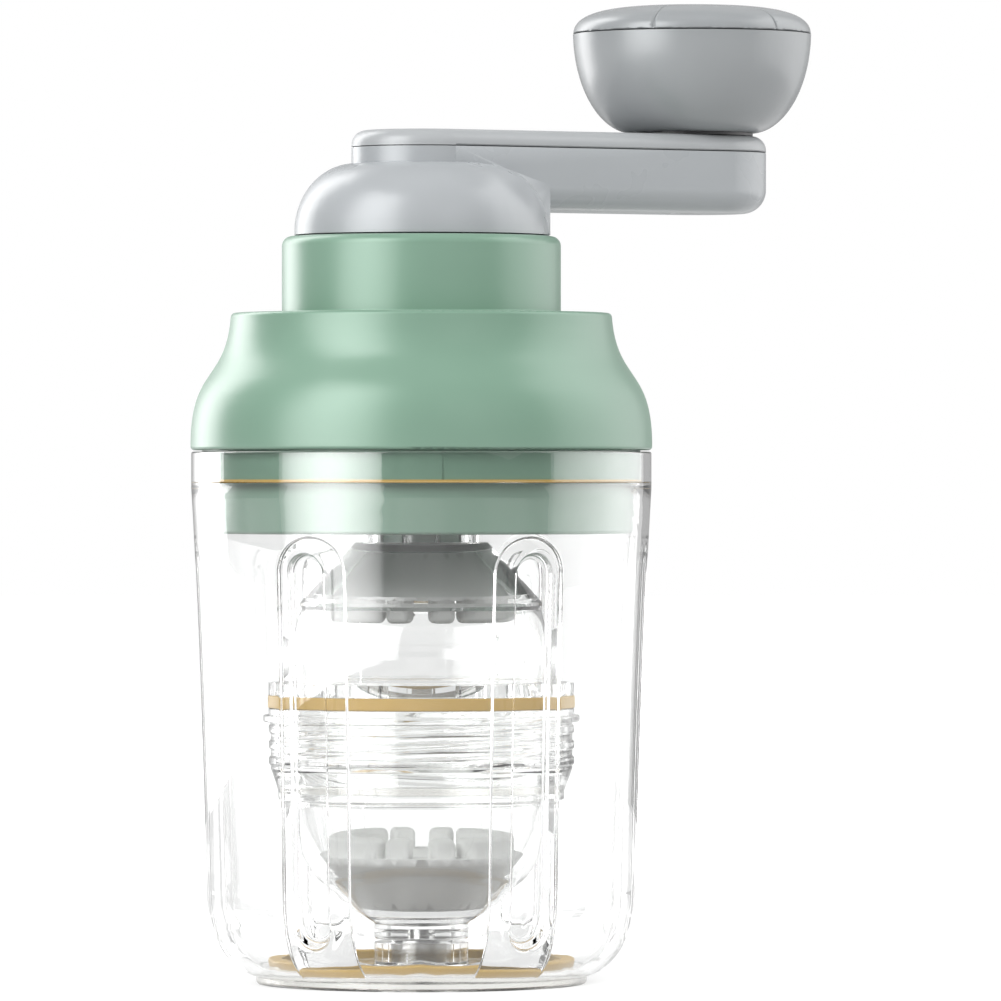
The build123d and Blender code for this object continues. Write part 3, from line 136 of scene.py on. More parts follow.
# %% Exact normals for turned faces
UPRIGHT = 0.05            # largest upward part of an upright face's normal
SAME_RADIUS = 0.02 * MM   # by how much the corners of a turned face may differ
SMALLEST_TURN = 0.5 * MM


def true_normals(piece):
    """Give the upright turned faces of a piece the exact normals of their cylinders."""
    mesh = piece.data
    normals = [corner.vector.copy() for corner in mesh.corner_normals]
    turned_faces = 0
    for face in mesh.polygons:
        places = [mesh.vertices[index].co.to_2d() for index in face.vertices]
        radii = [place.length for place in places]
        upright = abs(face.normal.z) <= UPRIGHT
        turned = max(radii) - min(radii) <= SAME_RADIUS and min(radii) >= SMALLEST_TURN
        if not (upright and turned):
            continue
        if len({(round(place.x, 6), round(place.y, 6)) for place in places}) < 2:
            continue
        turned_faces += 1
        outwards = 1 if face.normal.to_2d().dot(face.center.to_2d()) > 0 else -1
        for corner, place in zip(face.loop_indices, places):
            normals[corner] = (place.normalized() * outwards).to_3d()
    mesh.normals_split_custom_set(normals)
    return turned_faces


# %% Smooth copy
MERGE_DISTANCE = 0.002 * MM
SHARP_ANGLE = math.radians(32)


def smooth_copy(node, name):
    """A merged, smoothly shaded copy of a CAD node that stands for it and rides on its body."""
    source = frame["nodes"][node]
    piece = bpy.data.objects.new(name, source.data.copy())
    bpy.context.scene.collection.objects.link(piece)
    pick(piece)
    bpy.ops.object.mode_set(mode="EDIT")
    bpy.ops.mesh.select_all(action="SELECT")
    bpy.ops.mesh.remove_doubles(threshold=MERGE_DISTANCE)
    bpy.ops.object.mode_set(mode="OBJECT")
    bpy.ops.object.shade_smooth_by_angle(angle=SHARP_ANGLE)
    weighted = piece.modifiers.new("even shading", "WEIGHTED_NORMAL")
    weighted.keep_sharp = True
    apply_modifiers(piece)
    turned_faces = true_normals(piece)
    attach(piece, source["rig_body"])
    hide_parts(node)
    print(f"{name}: {len(piece.data.polygons)} faces, {turned_faces} of them upright and turned")
    return piece


# %% [markdown]
# ## Clear shells
# Clear plastic shows every facet twice, once on each face of its wall, so a merged copy of the
# CAD triangles is not good enough for the jar and the capsule. They are made again with even
# loops of faces and softly rounded edges. What is turned on the real mould is spun here from an
# outline, and its threads, lugs and notches are shaped afterwards.
#
# An outline is a list of corners. Each corner carries the radius of its soft edge, which becomes
# an arc of a few points, so that the moulding catches the light as a rounded edge does.

# %% Outline helpers
EDGE_STEPS = 4            # faces across a rounded edge


def rounded(corners):
    """An outline through (radius, height, edge radius) corners, in mm, with arcs at its edges."""
    points = []
    for index, (radius, height, edge) in enumerate(corners):
        here = Vector((radius, height))
        if edge == 0:
            points.append(here)
            continue
        towards = [(Vector(corners[index + step][:2]) - here).normalized() for step in (-1, 1)]
        half_angle = towards[0].angle(towards[1]) / 2
        centre = here + (towards[0] + towards[1]).normalized() * edge / math.sin(half_angle)
        first, last = (here + side * edge / math.tan(half_angle) - centre for side in towards)
        for step in range(EDGE_STEPS + 1):
            points.append(centre + first.slerp(last, step / EDGE_STEPS).normalized() * edge)
    return points


def bulge(first, last, reach, steps):
    """Points of an arc between two corners that stands out by a reach from the straight line."""
    first, last = Vector(first), Vector(last)
    along = last - first
    outwards = Vector((along.y, -along.x)).normalized()
    points = []
    for step in range(1, steps):
        share = step / steps
        points.append(first + along * share + outwards * reach * 4 * share * (1 - share))
    return points


def corners_of(points):
    """Turn plain points into corners without an edge radius."""
    return [(point.x, point.y, 0) for point in points]


# %% [markdown]
# Operators need the right faces selected. Faces are chosen by where their centre lies and where
# they point, which still holds when the number of steps changes. A finished shell is merged,
# turned outwards and shaded, and the count of open edges shows whether it is really closed.

# %% Selecting faces
def select_faces(piece, wanted):
    """Select the faces whose centre passes a test, and go into edit mode."""
    pick(piece)
    for group in (piece.data.vertices, piece.data.edges):
        group.foreach_set("select", [False] * len(group))
    for face in piece.data.polygons:
        face.select = wanted(face.center / MM, face.normal)
    bpy.ops.object.mode_set(mode="EDIT")
    bpy.ops.mesh.select_mode(type="FACE")


def turn_of(place):
    """The angle of a place round the jar's axis, in degrees from 0 to 360."""
    return math.degrees(math.atan2(place.y, place.x)) % 360


# %% Closing and shading
CLEAR_SHARP_ANGLE = math.radians(50)


def edge_uses(piece):
    """How many faces meet at each edge of a piece."""
    uses = [0] * len(piece.data.edges)
    for loop in piece.data.loops:
        uses[loop.edge_index] += 1
    return uses


def close_and_shade(piece, node):
    """Merge seams and poles, point the faces outwards, shade smoothly and stand for a node."""
    pick(piece)
    bpy.ops.object.mode_set(mode="EDIT")
    bpy.ops.mesh.select_all(action="SELECT")
    bpy.ops.mesh.remove_doubles(threshold=MERGE_DISTANCE)
    bpy.ops.mesh.dissolve_degenerate(threshold=MERGE_DISTANCE)
    bpy.ops.mesh.normals_make_consistent(inside=False)
    bpy.ops.object.mode_set(mode="OBJECT")
    bpy.ops.object.shade_smooth_by_angle(angle=CLEAR_SHARP_ANGLE)
    weighted = piece.modifiers.new("even shading", "WEIGHTED_NORMAL")
    weighted.keep_sharp = True
    apply_modifiers(piece)
    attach(piece, frame["nodes"][node]["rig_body"])
    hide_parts(node)
    loose = sum(1 for edge in edge_uses(piece) if edge != 2)
    print(f"{piece.name}: {len(piece.data.polygons)} faces, {loose} open edges")


# %% Spinning an outline
def spun(name, outline, spans):
    """Spin an outline of (radius, height) in mm round the jar's axis.

    spans lists (degrees, steps) stretches that together make a full turn.
    """
    mesh = bpy.data.meshes.new(name)
    points = [(point[0] * MM, 0.0, point[1] * MM) for point in outline]
    mesh.from_pydata(points, [(index, index + 1) for index in range(len(points) - 1)], [])
    piece = bpy.data.objects.new(name, mesh)
    bpy.context.scene.collection.objects.link(piece)
    pick(piece)
    bpy.ops.object.mode_set(mode="EDIT")
    bpy.ops.mesh.select_mode(type="VERT")
    bpy.ops.mesh.select_all(action="SELECT")
    for turn, steps in spans:
        bpy.ops.mesh.spin(steps=steps, angle=math.radians(turn), center=(0, 0, 0), axis=(0, 0, 1))
    bpy.ops.mesh.select_all(action="SELECT")
    bpy.ops.mesh.remove_doubles(threshold=MERGE_DISTANCE)
    bpy.ops.mesh.normals_make_consistent(inside=False)
    bpy.ops.object.mode_set(mode="OBJECT")
    return piece


# %% [markdown]
# ## The capsule
# The capsule holds the egg. Its two shells screw together with a thread of three starts, and a
# gold ring seals them. The heights and outer radii come from the frame, and the walls, bores and
# steps between them are the mould's own sizes.

# %% Sizes of the capsule
CAPSULE_WALL = 1.7
EGG_ROOM_RADIUS = 25.6
COLLAR_WALL = 1.0
THREAD_STARTS = 3
THREAD_PITCH = 3.3
THREAD_HEIGHT = 0.45
THREAD_WIDTH = 1.5        # of the softly rounded ridge
THREAD_LENGTH = 9.0
RIM_LEAD = 1.4            # from the rim down to the thread's upper end
THREAD_ROW = 0.25         # height of the rows of faces that carry the threads
THREAD_END_GAP = 0.9      # plain wall between the thread's rows and the rim
EDGE = 0.25               # radius of a moulded edge
BELLY_STEPS = 14          # faces up the swell of a shell

lower_low, lower_high = (corner / MM for corner in map(Vector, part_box("capsule_lower")))
upper_low, upper_high = (corner / MM for corner in map(Vector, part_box("capsule_upper")))
seal_low, seal_high = (corner / MM for corner in map(Vector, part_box("seal_ring")))
capsule_base, rim_top, rim_radius = lower_low.z, lower_high.z, lower_high.x
neck_tip, crown_top, flange_radius = upper_low.z, upper_high.z, upper_high.x
thread_low = rim_top - RIM_LEAD - THREAD_LENGTH
print(f"capsule from {capsule_base:.1f} to {crown_top:.1f} mm, rim {rim_radius:.1f} mm")

# %% [markdown]
# A thread could be a boolean of a swept ridge, but that leaves slivers that show in clear plastic.
# Instead the threaded wall is spun with many level rows, and each vertex is pushed in or out by
# how near it is to the middle of a climbing ridge. The ridges fade out at their ends.

# %% Threads
def thread_ridge(turn, height, first_turn):
    """How far a thread stands out at a place: ridges that climb as a right-handed screw."""
    climb = (turn - first_turn) / 360 * THREAD_STARTS * THREAD_PITCH
    off_ridge = (height - thread_low - climb + THREAD_PITCH / 2) % THREAD_PITCH - THREAD_PITCH / 2
    if abs(off_ridge) > THREAD_WIDTH / 2:
        return 0.0
    end = min(height - thread_low + THREAD_PITCH, thread_low + THREAD_LENGTH - height)
    fade = max(0.0, min(1.0, end))
    return THREAD_HEIGHT * fade * (1 + math.cos(2 * math.pi * off_ridge / THREAD_WIDTH)) / 2


def cut_threads(piece, wall_radius, outwards, first_turn):
    """Push the thread ridges out of, or into, the bore of a spun piece."""
    sign = 1 if outwards else -1
    for vertex in piece.data.vertices:
        place = vertex.co / MM
        radius = place.to_2d().length
        on_rows = thread_low - 1 < place.z < rim_top - THREAD_END_GAP
        if abs(radius - wall_radius) > 0.01 or not on_rows:
            continue
        moved = radius + sign * thread_ridge(turn_of(place), place.z, first_turn)
        vertex.co.x *= moved / radius
        vertex.co.y *= moved / radius


def thread_rows(radius, low, high):
    """Points up a straight threaded wall, close enough for its ridges."""
    count = round(abs(high - low) / THREAD_ROW)
    return [(radius, low + (high - low) * row / count, 0) for row in range(count + 1)]


# %% [markdown]
# The lower shell is a bowl with a round foot. Above the belly it steps out to the threaded collar,
# which carries three low grip ribs and ends in the rim that the seal ring lies on.

# %% Sizes of the lower shell
FOOT_RADIUS = 9.9
FOOT_HEIGHT = 2.65
CONE_HEIGHT = 9.61
CONE_REACH = 11.7         # how much wider than the foot the belly begins
BELLY_HEIGHT = 16.8
LOWER_BELLY_BORE = 19.05  # at the belly's lower end
LOWER_BULGE = 1.6
BELLY_STEP = 0.4          # the small step between the belly and the shelf
SHELF_WALL = 1.5
COLLAR_TIP_BORE = 28.75
COLLAR_BORE = 30.45
COLLAR_FOOT = 4.8         # height of the collar's narrow foot
COLLAR_LEAD = 6.5         # height over the shelf where the straight threaded wall begins
RIM_HEIGHT = 2.8

cone_low = capsule_base + FOOT_HEIGHT
belly_low = cone_low + CONE_HEIGHT
belly_low_radius = FOOT_RADIUS + CONE_REACH
shelf_under = belly_low + BELLY_HEIGHT
shelf = shelf_under + SHELF_WALL
belly_radius = EGG_ROOM_RADIUS + CAPSULE_WALL
collar_radius = COLLAR_BORE + COLLAR_WALL
print(f"egg room {EGG_ROOM_RADIUS * 2:.1f} mm wide, collar {collar_radius * 2:.1f} mm")

# %% Grip ribs and inner bowl
RIB_COUNT = 3
RIB_HEIGHT = 0.4
RIB_WIDTH = 1.7
RIB_SLOPE = 0.2           # half the height of a rib's sloping side
BOWL_RADIUS = 12.0
BOWL_FLOOR = 1.75
BOWL_RISE = 3.4
BOWL_STEPS = 8

ribs = []
for rib in range(RIB_COUNT):
    rib_low = shelf + COLLAR_FOOT + RIB_WIDTH / 2 + rib * THREAD_PITCH
    ribs += [
        (collar_radius, rib_low - RIB_SLOPE, 0.15),
        (collar_radius + RIB_HEIGHT, rib_low + RIB_SLOPE, 0.2),
        (collar_radius + RIB_HEIGHT, rib_low + RIB_WIDTH - RIB_SLOPE, 0.2),
        (collar_radius, rib_low + RIB_WIDTH + RIB_SLOPE, 0.15),
    ]
bowl = [
    (BOWL_RADIUS * step / BOWL_STEPS,
     capsule_base + BOWL_FLOOR + BOWL_RISE * (step / BOWL_STEPS) ** 2, 0)
    for step in range(BOWL_STEPS + 1)
]
print("points of the ribs and the bowl:", len(ribs), "and", len(bowl))

# %% Outline of the lower shell
outer_belly = bulge(
    (belly_low_radius, belly_low), (belly_radius, shelf_under - BELLY_STEP),
    LOWER_BULGE, BELLY_STEPS)
inner_belly = bulge(
    (LOWER_BELLY_BORE, belly_low), (EGG_ROOM_RADIUS, shelf_under), LOWER_BULGE, BELLY_STEPS)
lower_outline = rounded([
    (0, capsule_base, 0),
    (FOOT_RADIUS, capsule_base, EDGE * 2),
    (FOOT_RADIUS, cone_low, 1.0),
    (belly_low_radius, belly_low, 0),
    *corners_of(outer_belly),
    (belly_radius + BELLY_STEP / 2, shelf_under - BELLY_STEP, 0.3),
    (COLLAR_TIP_BORE + COLLAR_WALL, shelf_under, EDGE),
    (COLLAR_TIP_BORE + COLLAR_WALL, shelf, EDGE),
    (collar_radius, shelf + COLLAR_FOOT, EDGE),
    *ribs,
    (collar_radius, rim_top - RIM_HEIGHT, EDGE),
    (rim_radius, rim_top - RIM_HEIGHT, EDGE),
    (rim_radius, rim_top - RIM_HEIGHT / 2, EDGE),
    (flange_radius, rim_top - RIM_HEIGHT / 2, EDGE / 2),
    (flange_radius, rim_top, EDGE),
    (COLLAR_BORE, rim_top, EDGE),
    *thread_rows(COLLAR_BORE, rim_top - THREAD_END_GAP, shelf + COLLAR_LEAD),
    (COLLAR_TIP_BORE, shelf + COLLAR_FOOT, EDGE),
    (COLLAR_TIP_BORE, shelf, EDGE),
    (EGG_ROOM_RADIUS, shelf, EDGE),
    (EGG_ROOM_RADIUS, shelf_under, 0),
    *corners_of(reversed(inner_belly)),
    (LOWER_BELLY_BORE, belly_low, 0),
    *reversed(bowl),
])
print("points in the lower shell's outline:", len(lower_outline))

# %% Lower shell
SPIN_STEPS = 180
COLLAR_FIRST_TURN = 60    # degrees from the neck's first thread to the collar's

lower_shell = spun("capsule_lower_shell", lower_outline, [(360, SPIN_STEPS)])
cut_threads(lower_shell, COLLAR_BORE, False, COLLAR_FIRST_TURN)
close_and_shade(lower_shell, "capsule_lower")

# %% [markdown]
# The upper shell has the matching threaded neck, a flange with 18 grip lugs, and on its top plate
# a crown with six notches, which the lid's drive dog turns. Between flange and plate its belly
# closes in to a brow with a low bead, and a sloping roof. It is spun in stretches whose borders
# fall on the sides of the lugs and notches, so that these can be extruded from whole faces.

# %% Sizes of the upper shell
LUG_DEPTH = 1.5
NECK_RADIUS = 29.6
NECK_BORE = 26.9
NECK_CHAMFER = 1.3        # height of the slope from the neck's bore to the egg room
NECK_TIP_STEP = 1.0       # how far the neck's plain tip is drawn in
NECK_TIP_HEIGHT = 3.6
NECK_LEAD = 4.6           # height over the neck's tip where the straight threaded wall begins
SEAL_GAP = 0.05
FLANGE_WALL = 2.7
UPPER_BELLY_HEIGHT = 15.1
UPPER_BELLY_RADIUS = 24.9
UPPER_BULGE = 2.1
BROW_BEAD = 0.5           # how far the bead over the belly stands out
BROW_HEIGHT = 2.4
ROOF_LOW_RADIUS, ROOF_TOP_RADIUS = 24.4, 13.9
ROOF_LOW_BORE, ROOF_TOP_BORE = 22.1, 12.8
PLATE_WALL = 2.1
CROWN_RADIUS = 12.3
CROWN_WALL = 2.9
CROWN_HEIGHT = 2.3
CROWN_SEAT_RADIUS = 13.1  # of the step round the crown
CROWN_SEAT_DEPTH = 0.8

neck_tip_radius = NECK_RADIUS - NECK_TIP_STEP
flange_low = seal_high.z + SEAL_GAP
flange_high = flange_low + FLANGE_WALL
crown_plate = crown_top - CROWN_HEIGHT
roof_top = crown_plate + CROWN_SEAT_DEPTH
brow = flange_high + UPPER_BELLY_HEIGHT
roof_low = brow + BROW_HEIGHT
lug_inner = flange_radius - LUG_DEPTH
print(f"flange at {flange_low:.1f} mm, crown plate at {crown_plate:.1f} mm")

# %% Outline of the upper shell
outer_belly = bulge(
    (belly_radius, flange_high), (UPPER_BELLY_RADIUS, brow), UPPER_BULGE, BELLY_STEPS)
inner_belly = bulge(
    (EGG_ROOM_RADIUS, flange_high), (UPPER_BELLY_RADIUS - CAPSULE_WALL, brow),
    UPPER_BULGE, BELLY_STEPS)
upper_outline = rounded([
    (0, crown_plate - PLATE_WALL, 0),
    (ROOF_TOP_BORE, crown_plate - PLATE_WALL, 0.4),
    (ROOF_LOW_BORE, roof_low, 0.4),
    (UPPER_BELLY_RADIUS - CAPSULE_WALL, brow, 0),
    *corners_of(reversed(inner_belly)),
    (EGG_ROOM_RADIUS, flange_high, 0),
    (EGG_ROOM_RADIUS, flange_low, EDGE),
    (NECK_BORE, flange_low - NECK_CHAMFER, EDGE),
    (NECK_BORE, neck_tip, EDGE),
    (neck_tip_radius, neck_tip, EDGE),
    (neck_tip_radius, neck_tip + NECK_TIP_HEIGHT, EDGE),
    *thread_rows(NECK_RADIUS, neck_tip + NECK_LEAD, rim_top - THREAD_END_GAP),
    (NECK_RADIUS, flange_low, EDGE / 2),
    (lug_inner, flange_low, EDGE / 2),
    (lug_inner, flange_high, EDGE / 2),
    (belly_radius, flange_high, EDGE),
    *corners_of(outer_belly),
    (UPPER_BELLY_RADIUS, brow, 0.2),
    (UPPER_BELLY_RADIUS + BROW_BEAD, brow + 0.8, 0.3),
    (UPPER_BELLY_RADIUS + BROW_BEAD, brow + 1.6, 0.3),
    (ROOF_LOW_RADIUS, roof_low, 0.2),
    (ROOF_TOP_RADIUS, roof_top, 0.3),
    (CROWN_SEAT_RADIUS, roof_top, 0.2),
    (CROWN_SEAT_RADIUS, crown_plate, 0.15),
    (CROWN_RADIUS, crown_plate, 0),
    (CROWN_RADIUS - CROWN_WALL, crown_plate, 0),
    (0, crown_plate, 0),
])
print("points in the upper shell's outline:", len(upper_outline))

# %% Spinning the upper shell
LUG_COUNT = 18
LUG_HALF_TURN = 4.83      # degrees
NOTCH_COUNT = 6
NOTCH_HALF_TURN = 13.0    # degrees
STEP_TURN = 2             # degrees, at most about this much for one face

lug_turn = 360 / LUG_COUNT
notch_turn = 360 / NOTCH_COUNT
lug_edges = [
    (lug + 0.5) * lug_turn + side * LUG_HALF_TURN
    for lug in range(LUG_COUNT // NOTCH_COUNT) for side in (-1, 1)
]
sector = sorted([0.0, *lug_edges, NOTCH_HALF_TURN, notch_turn - NOTCH_HALF_TURN, notch_turn])
sector_spans = [
    (high - low, max(1, round((high - low) / STEP_TURN))) for low, high in zip(sector, sector[1:])
]
upper_shell = spun("capsule_upper_shell", upper_outline, sector_spans * NOTCH_COUNT)
cut_threads(upper_shell, NECK_RADIUS, True, 0)
print("faces before the lugs and the crown:", len(upper_shell.data.polygons))


# %% Lugs and crown
def is_lug(place, normal):
    """Whether a face of the flange's side belongs to a grip lug."""
    off_lug = abs((turn_of(place) % lug_turn) - lug_turn / 2)
    on_side = abs(place.to_2d().length - lug_inner) < 0.05 and flange_low < place.z < flange_high
    return on_side and off_lug < LUG_HALF_TURN


def is_crown(place, normal):
    """Whether a face of the top plate carries the crown between two notches."""
    off_notch = abs((turn_of(place) + notch_turn / 2) % notch_turn - notch_turn / 2)
    on_plate = abs(place.z - crown_plate) < 0.01 and normal.z > 0.9
    on_ring = CROWN_RADIUS - CROWN_WALL < place.to_2d().length < CROWN_RADIUS
    return on_plate and on_ring and off_notch > NOTCH_HALF_TURN


select_faces(upper_shell, is_lug)
bpy.ops.mesh.extrude_region()
grow = flange_radius / lug_inner
bpy.ops.transform.resize(value=(grow, grow, 1.0), center_override=(0, 0, 0))
bpy.ops.object.mode_set(mode="OBJECT")
select_faces(upper_shell, is_crown)
bpy.ops.mesh.extrude_region()
bpy.ops.transform.translate(value=(0, 0, CROWN_HEIGHT * MM))
bpy.ops.object.mode_set(mode="OBJECT")
close_and_shade(upper_shell, "capsule_upper")

# %% [markdown]
# The seal ring is a flat gold band between the two shells. Its outline starts and ends in the
# middle of its outer side, so that all four corners are inside the list and can be rounded.

# %% Seal ring
seal_middle = (seal_low.z + seal_high.z) / 2
seal_outline = rounded([
    (seal_high.x, seal_middle, 0),
    (seal_high.x, seal_high.z, EDGE),
    (COLLAR_BORE, seal_high.z, EDGE),
    (COLLAR_BORE, seal_low.z, EDGE),
    (seal_high.x, seal_low.z, EDGE),
    (seal_high.x, seal_middle, 0),
])
seal_band = spun("seal_ring_band", seal_outline, [(360, SPIN_STEPS)])
close_and_shade(seal_band, "seal_ring")

# %% [markdown]
# ## The fluted jar
# Six flutes stand into the jar, each with an arched top, and behind each lies a groove. Cutting
# them with booleans leaves long thin faces, which show as cracks in clear plastic. So the wall
# is woven instead: loops of points run round each arch, closer together at its edges, and spread
# out to the borders of a sixth of the jar, where they meet the next sixth. The same weaving
# makes the inner wall with its flutes and the outer wall with its grooves.
#
# Steep sides mirror like little prisms and would show as wide white bars. The photo shows them as
# thin lines, so the flutes and grooves are kept shallow here.

# %% Sizes of the jar
JAR_WALL = 2.5
JAR_FLOOR = 2.1
JAR_FLARE = 3.1
CORNER_WIDTH = 12.0
CORNER_RISE = 18.0
LIP_HEIGHT = 7.8
SIDE_HANDLES = (0.42, 0.8)  # shares of the side's height where its curve is held
FLUTES = 6
FLUTE_DEPTH = 1.6
GROOVE_WIDTH = 8.0
GROOVE_DEPTH = 1.8
GROOVE_FLOOR = 2.0        # how far the grooves' form is drawn up from the jar's base
FLUTE_SIDE_WALL = 3.5
FLUTE_TOP_GAP = 0.6       # from the arches' tops up to the lid's insert
FLUTE_EDGE = 0.4          # radius of the flutes' soft edges
ARCH_STEPS = 48           # faces round an arch
SIDE_STEPS = 18           # faces up a flute's side
CORNER_STEPS = 10         # faces round the jar's corner

jar_low, jar_high = (corner / MM for corner in map(Vector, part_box("jar_body")))
jar_base, jar_rim, jar_radius = jar_low.z, jar_high.z, jar_high.x
jar_waist = jar_base + CORNER_RISE
waist_radius = jar_radius - JAR_FLARE
corner_centre = waist_radius - CORNER_WIDTH
lip_low = jar_rim - LIP_HEIGHT
side_height = lip_low - jar_waist
side_radii = (waist_radius, waist_radius + JAR_FLARE / 4, jar_radius - JAR_FLARE / 3, jar_radius)
side_heights = (
    jar_waist, jar_waist + side_height * SIDE_HANDLES[0],
    jar_waist + side_height * SIDE_HANDLES[1], lip_low)
CORNER_LENGTH = 23.8      # along the corner's ellipse
GROOVE_FOOT_RISE = 7.6    # height of the grooves' lower end over the jar's base
GROOVE_BORDER_SHARE = 0.83  # of the corner that the outer wall's weave covers
WEAVE_TO_LIP = 2.0        # plain wall between the weave and the lip
woven_top = lip_low - WEAVE_TO_LIP
flute_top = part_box("lid_insert")[0][2] / MM - FLUTE_TOP_GAP
groove_top = flute_top - FLUTE_SIDE_WALL
groove_foot_turn = math.asin((jar_waist - jar_base - GROOVE_FOOT_RISE) / CORNER_RISE)
groove_foot = jar_waist - CORNER_LENGTH * groove_foot_turn / (math.pi / 2)
groove_border = jar_waist - CORNER_LENGTH * GROOVE_BORDER_SHARE
print(f"jar from {jar_base:.1f} to {jar_rim:.1f} mm, radius {jar_radius:.1f} mm")

# %% [markdown]
# The jar's turned form is a gentle curve above its waist and a quarter of an ellipse below it. One
# length, measured up the wall, names a place on both. Above the waist it is the height itself.

# %% Form of the jar
def bezier(values, share):
    """One value on a cubic curve."""
    rest = 1 - share
    first, second, third, last = values
    return first * rest**3 + 3 * second * rest**2 * share + 3 * third * rest * share**2 + last * share**3


def side_radius(height):
    """The jar's outside radius at a height, found by halving."""
    low, high = 0.0, 1.0
    for _ in range(20):
        middle = (low + high) / 2
        if bezier(side_heights, middle) < height:
            low = middle
        else:
            high = middle
    return bezier(side_radii, low)


def jar_form(inset, low):
    """The turned form drawn in by an inset: gives radius and height at a length up the wall."""
    def at(length):
        if length >= jar_waist:
            return Vector((side_radius(length) - inset, length))
        turn = (jar_waist - length) / CORNER_LENGTH * math.pi / 2
        width, rise = CORNER_WIDTH - inset, jar_waist - low
        return Vector((corner_centre + width * math.cos(turn), jar_waist - rise * math.sin(turn)))
    return at


# %% [markdown]
# Each loop of the weave runs up one side of the flute, round the arch and down the other side. The
# outermost loop is pulled out to the borders of the sixth. The next ones sink over the flute's
# soft edge to its full depth, and the last ones close its flat bottom.

# %% Loops of the weave
PLAIN_MARGIN = 1.2        # plain wall between the soft edge and the first free loop
SPREADS = (1.0, 0.8, 0.6, 0.42, 0.26, 0.12)   # how far each outer loop is pulled to the borders
FLAT_SHARES = (0.2, 0.45, 0.7, 1.0)           # the loops on the flute's flat bottom


def depth_loops(half_width, depth):
    """(offset from the arch's outline, share of the depth) of each loop, from plain wall inwards."""
    loops = [(FLUTE_EDGE + PLAIN_MARGIN, 0.0)]
    for step in range(EDGE_STEPS + 1):
        turn = step / EDGE_STEPS * math.pi / 2
        loops.append((FLUTE_EDGE * (1 - math.sin(turn)), FLUTE_EDGE * (1 - math.cos(turn)) / depth))
    for step in range(EDGE_STEPS + 1):
        turn = step / EDGE_STEPS * math.pi / 2
        rise = depth - FLUTE_EDGE * (1 - math.sin(turn))
        loops.append((-FLUTE_EDGE * (1 - math.cos(turn)), rise / depth))
    flat = half_width - FLUTE_EDGE
    loops += [(-FLUTE_EDGE - flat * share, 1.0) for share in FLAT_SHARES]
    return loops


def arch_border(turn, spring, top):
    """Where an arch point at a turn ends up on the border of its sixth: (side -1 to 1, length)."""
    if abs(math.cos(turn)) >= abs(math.sin(turn)) - 1e-9:
        return math.copysign(1.0, math.cos(turn)), spring + (top - spring) * abs(math.tan(turn))
    return math.cos(turn) / abs(math.sin(turn)), top


# %% One loop
def woven_loop(half_width, offset, spread, spring, top, sides, foot=None, bottom=None):
    """One loop of (side turn in mm, share of the sixth, length) round an arch."""
    reach = half_width + offset
    loop = [(reach, 1.0, length) for length in sides]
    for step in range(1, ARCH_STEPS):
        turn = math.pi * step / ARCH_STEPS
        side, length = arch_border(turn, spring, top)
        height = spring + reach * math.sin(turn)
        loop.append((reach * math.cos(turn), side, height + (length - height) * spread))
    loop += [(-reach, -1.0, length) for length in reversed(sides)]
    if foot is not None:
        for step in range(1, ARCH_STEPS):
            turn = math.pi * (1 - step / ARCH_STEPS)
            side, length = arch_border(turn, foot, bottom)
            height = foot - reach * math.sin(turn)
            loop.append((reach * math.cos(turn), side, height + (length - height) * spread))
    return loop


# %% A woven wall
def woven_wall(plain, deep, half_width, depth, spring, sides, foot=None, bottom=None):
    """Points and faces of a wall with six arched flutes between a plain and a deep form."""
    half_sixth = math.pi / FLUTES
    shapes = [(FLUTE_EDGE + PLAIN_MARGIN, 0.0, spread) for spread in SPREADS]
    shapes += [(offset, share, 0.0) for offset, share in depth_loops(half_width, depth)]
    points, faces = [], []
    for flute in range(FLUTES):
        loops = []
        for offset, share, spread in shapes:
            loop = []
            for side, border, length in woven_loop(
                    half_width, offset, spread, spring, woven_top, sides, foot, bottom):
                place = plain(length).lerp(deep(length), share)
                turn = side / place.x * (1 - spread) + border * half_sixth * spread
                turn += 2 * half_sixth * flute
                loop.append(len(points))
                points.append((place.x * math.cos(turn), place.x * math.sin(turn), place.y))
            loops.append(loop)
        for first, second in zip(loops, loops[1:]):
            count = len(first) if foot is not None else len(first) - 1
            for index in range(count):
                after = (index + 1) % len(first)
                faces.append((first[index], first[after], second[after], second[index]))
    return points, faces


# %% [markdown]
# The lip, the base and the floor are plain turned stretches. They use the very turns at which the
# weave's border has its points, so that the stretches merge into one closed shell.

# %% Turned stretches
def turned_wall(outline, turns):
    """Points and faces of a plain turned wall through (radius, height) rows at given turns."""
    points, faces = [], []
    count = len(turns)
    for radius, height in outline:
        points += [(radius * math.cos(turn), radius * math.sin(turn), height) for turn in turns]
    for row in range(len(outline) - 1):
        for index in range(count):
            after = (index + 1) % count
            low, high = row * count, (row + 1) * count
            faces.append((low + index, low + after, high + after, high + index))
    return points, faces


def shared_turns(points, radius, height):
    """The turns, in order, of the woven points on one level border."""
    on_border = set()
    for x, y, z in points:
        if abs(z - height) < 1e-4 and abs(math.hypot(x, y) - radius) < 1e-4:
            on_border.add(round(math.atan2(y, x) % (2 * math.pi), 7) % round(2 * math.pi, 7))
    return sorted(on_border)


# %% Outer wall with grooves
outside = jar_form(0.0, jar_base)
groove_form = jar_form(GROOVE_DEPTH, jar_base + GROOVE_FLOOR)
inside = jar_form(JAR_WALL, jar_base + JAR_FLOOR)
flute_form = jar_form(JAR_WALL + FLUTE_DEPTH, jar_base + JAR_FLOOR)
half_groove = GROOVE_WIDTH / 2
half_flute = half_groove + FLUTE_SIDE_WALL

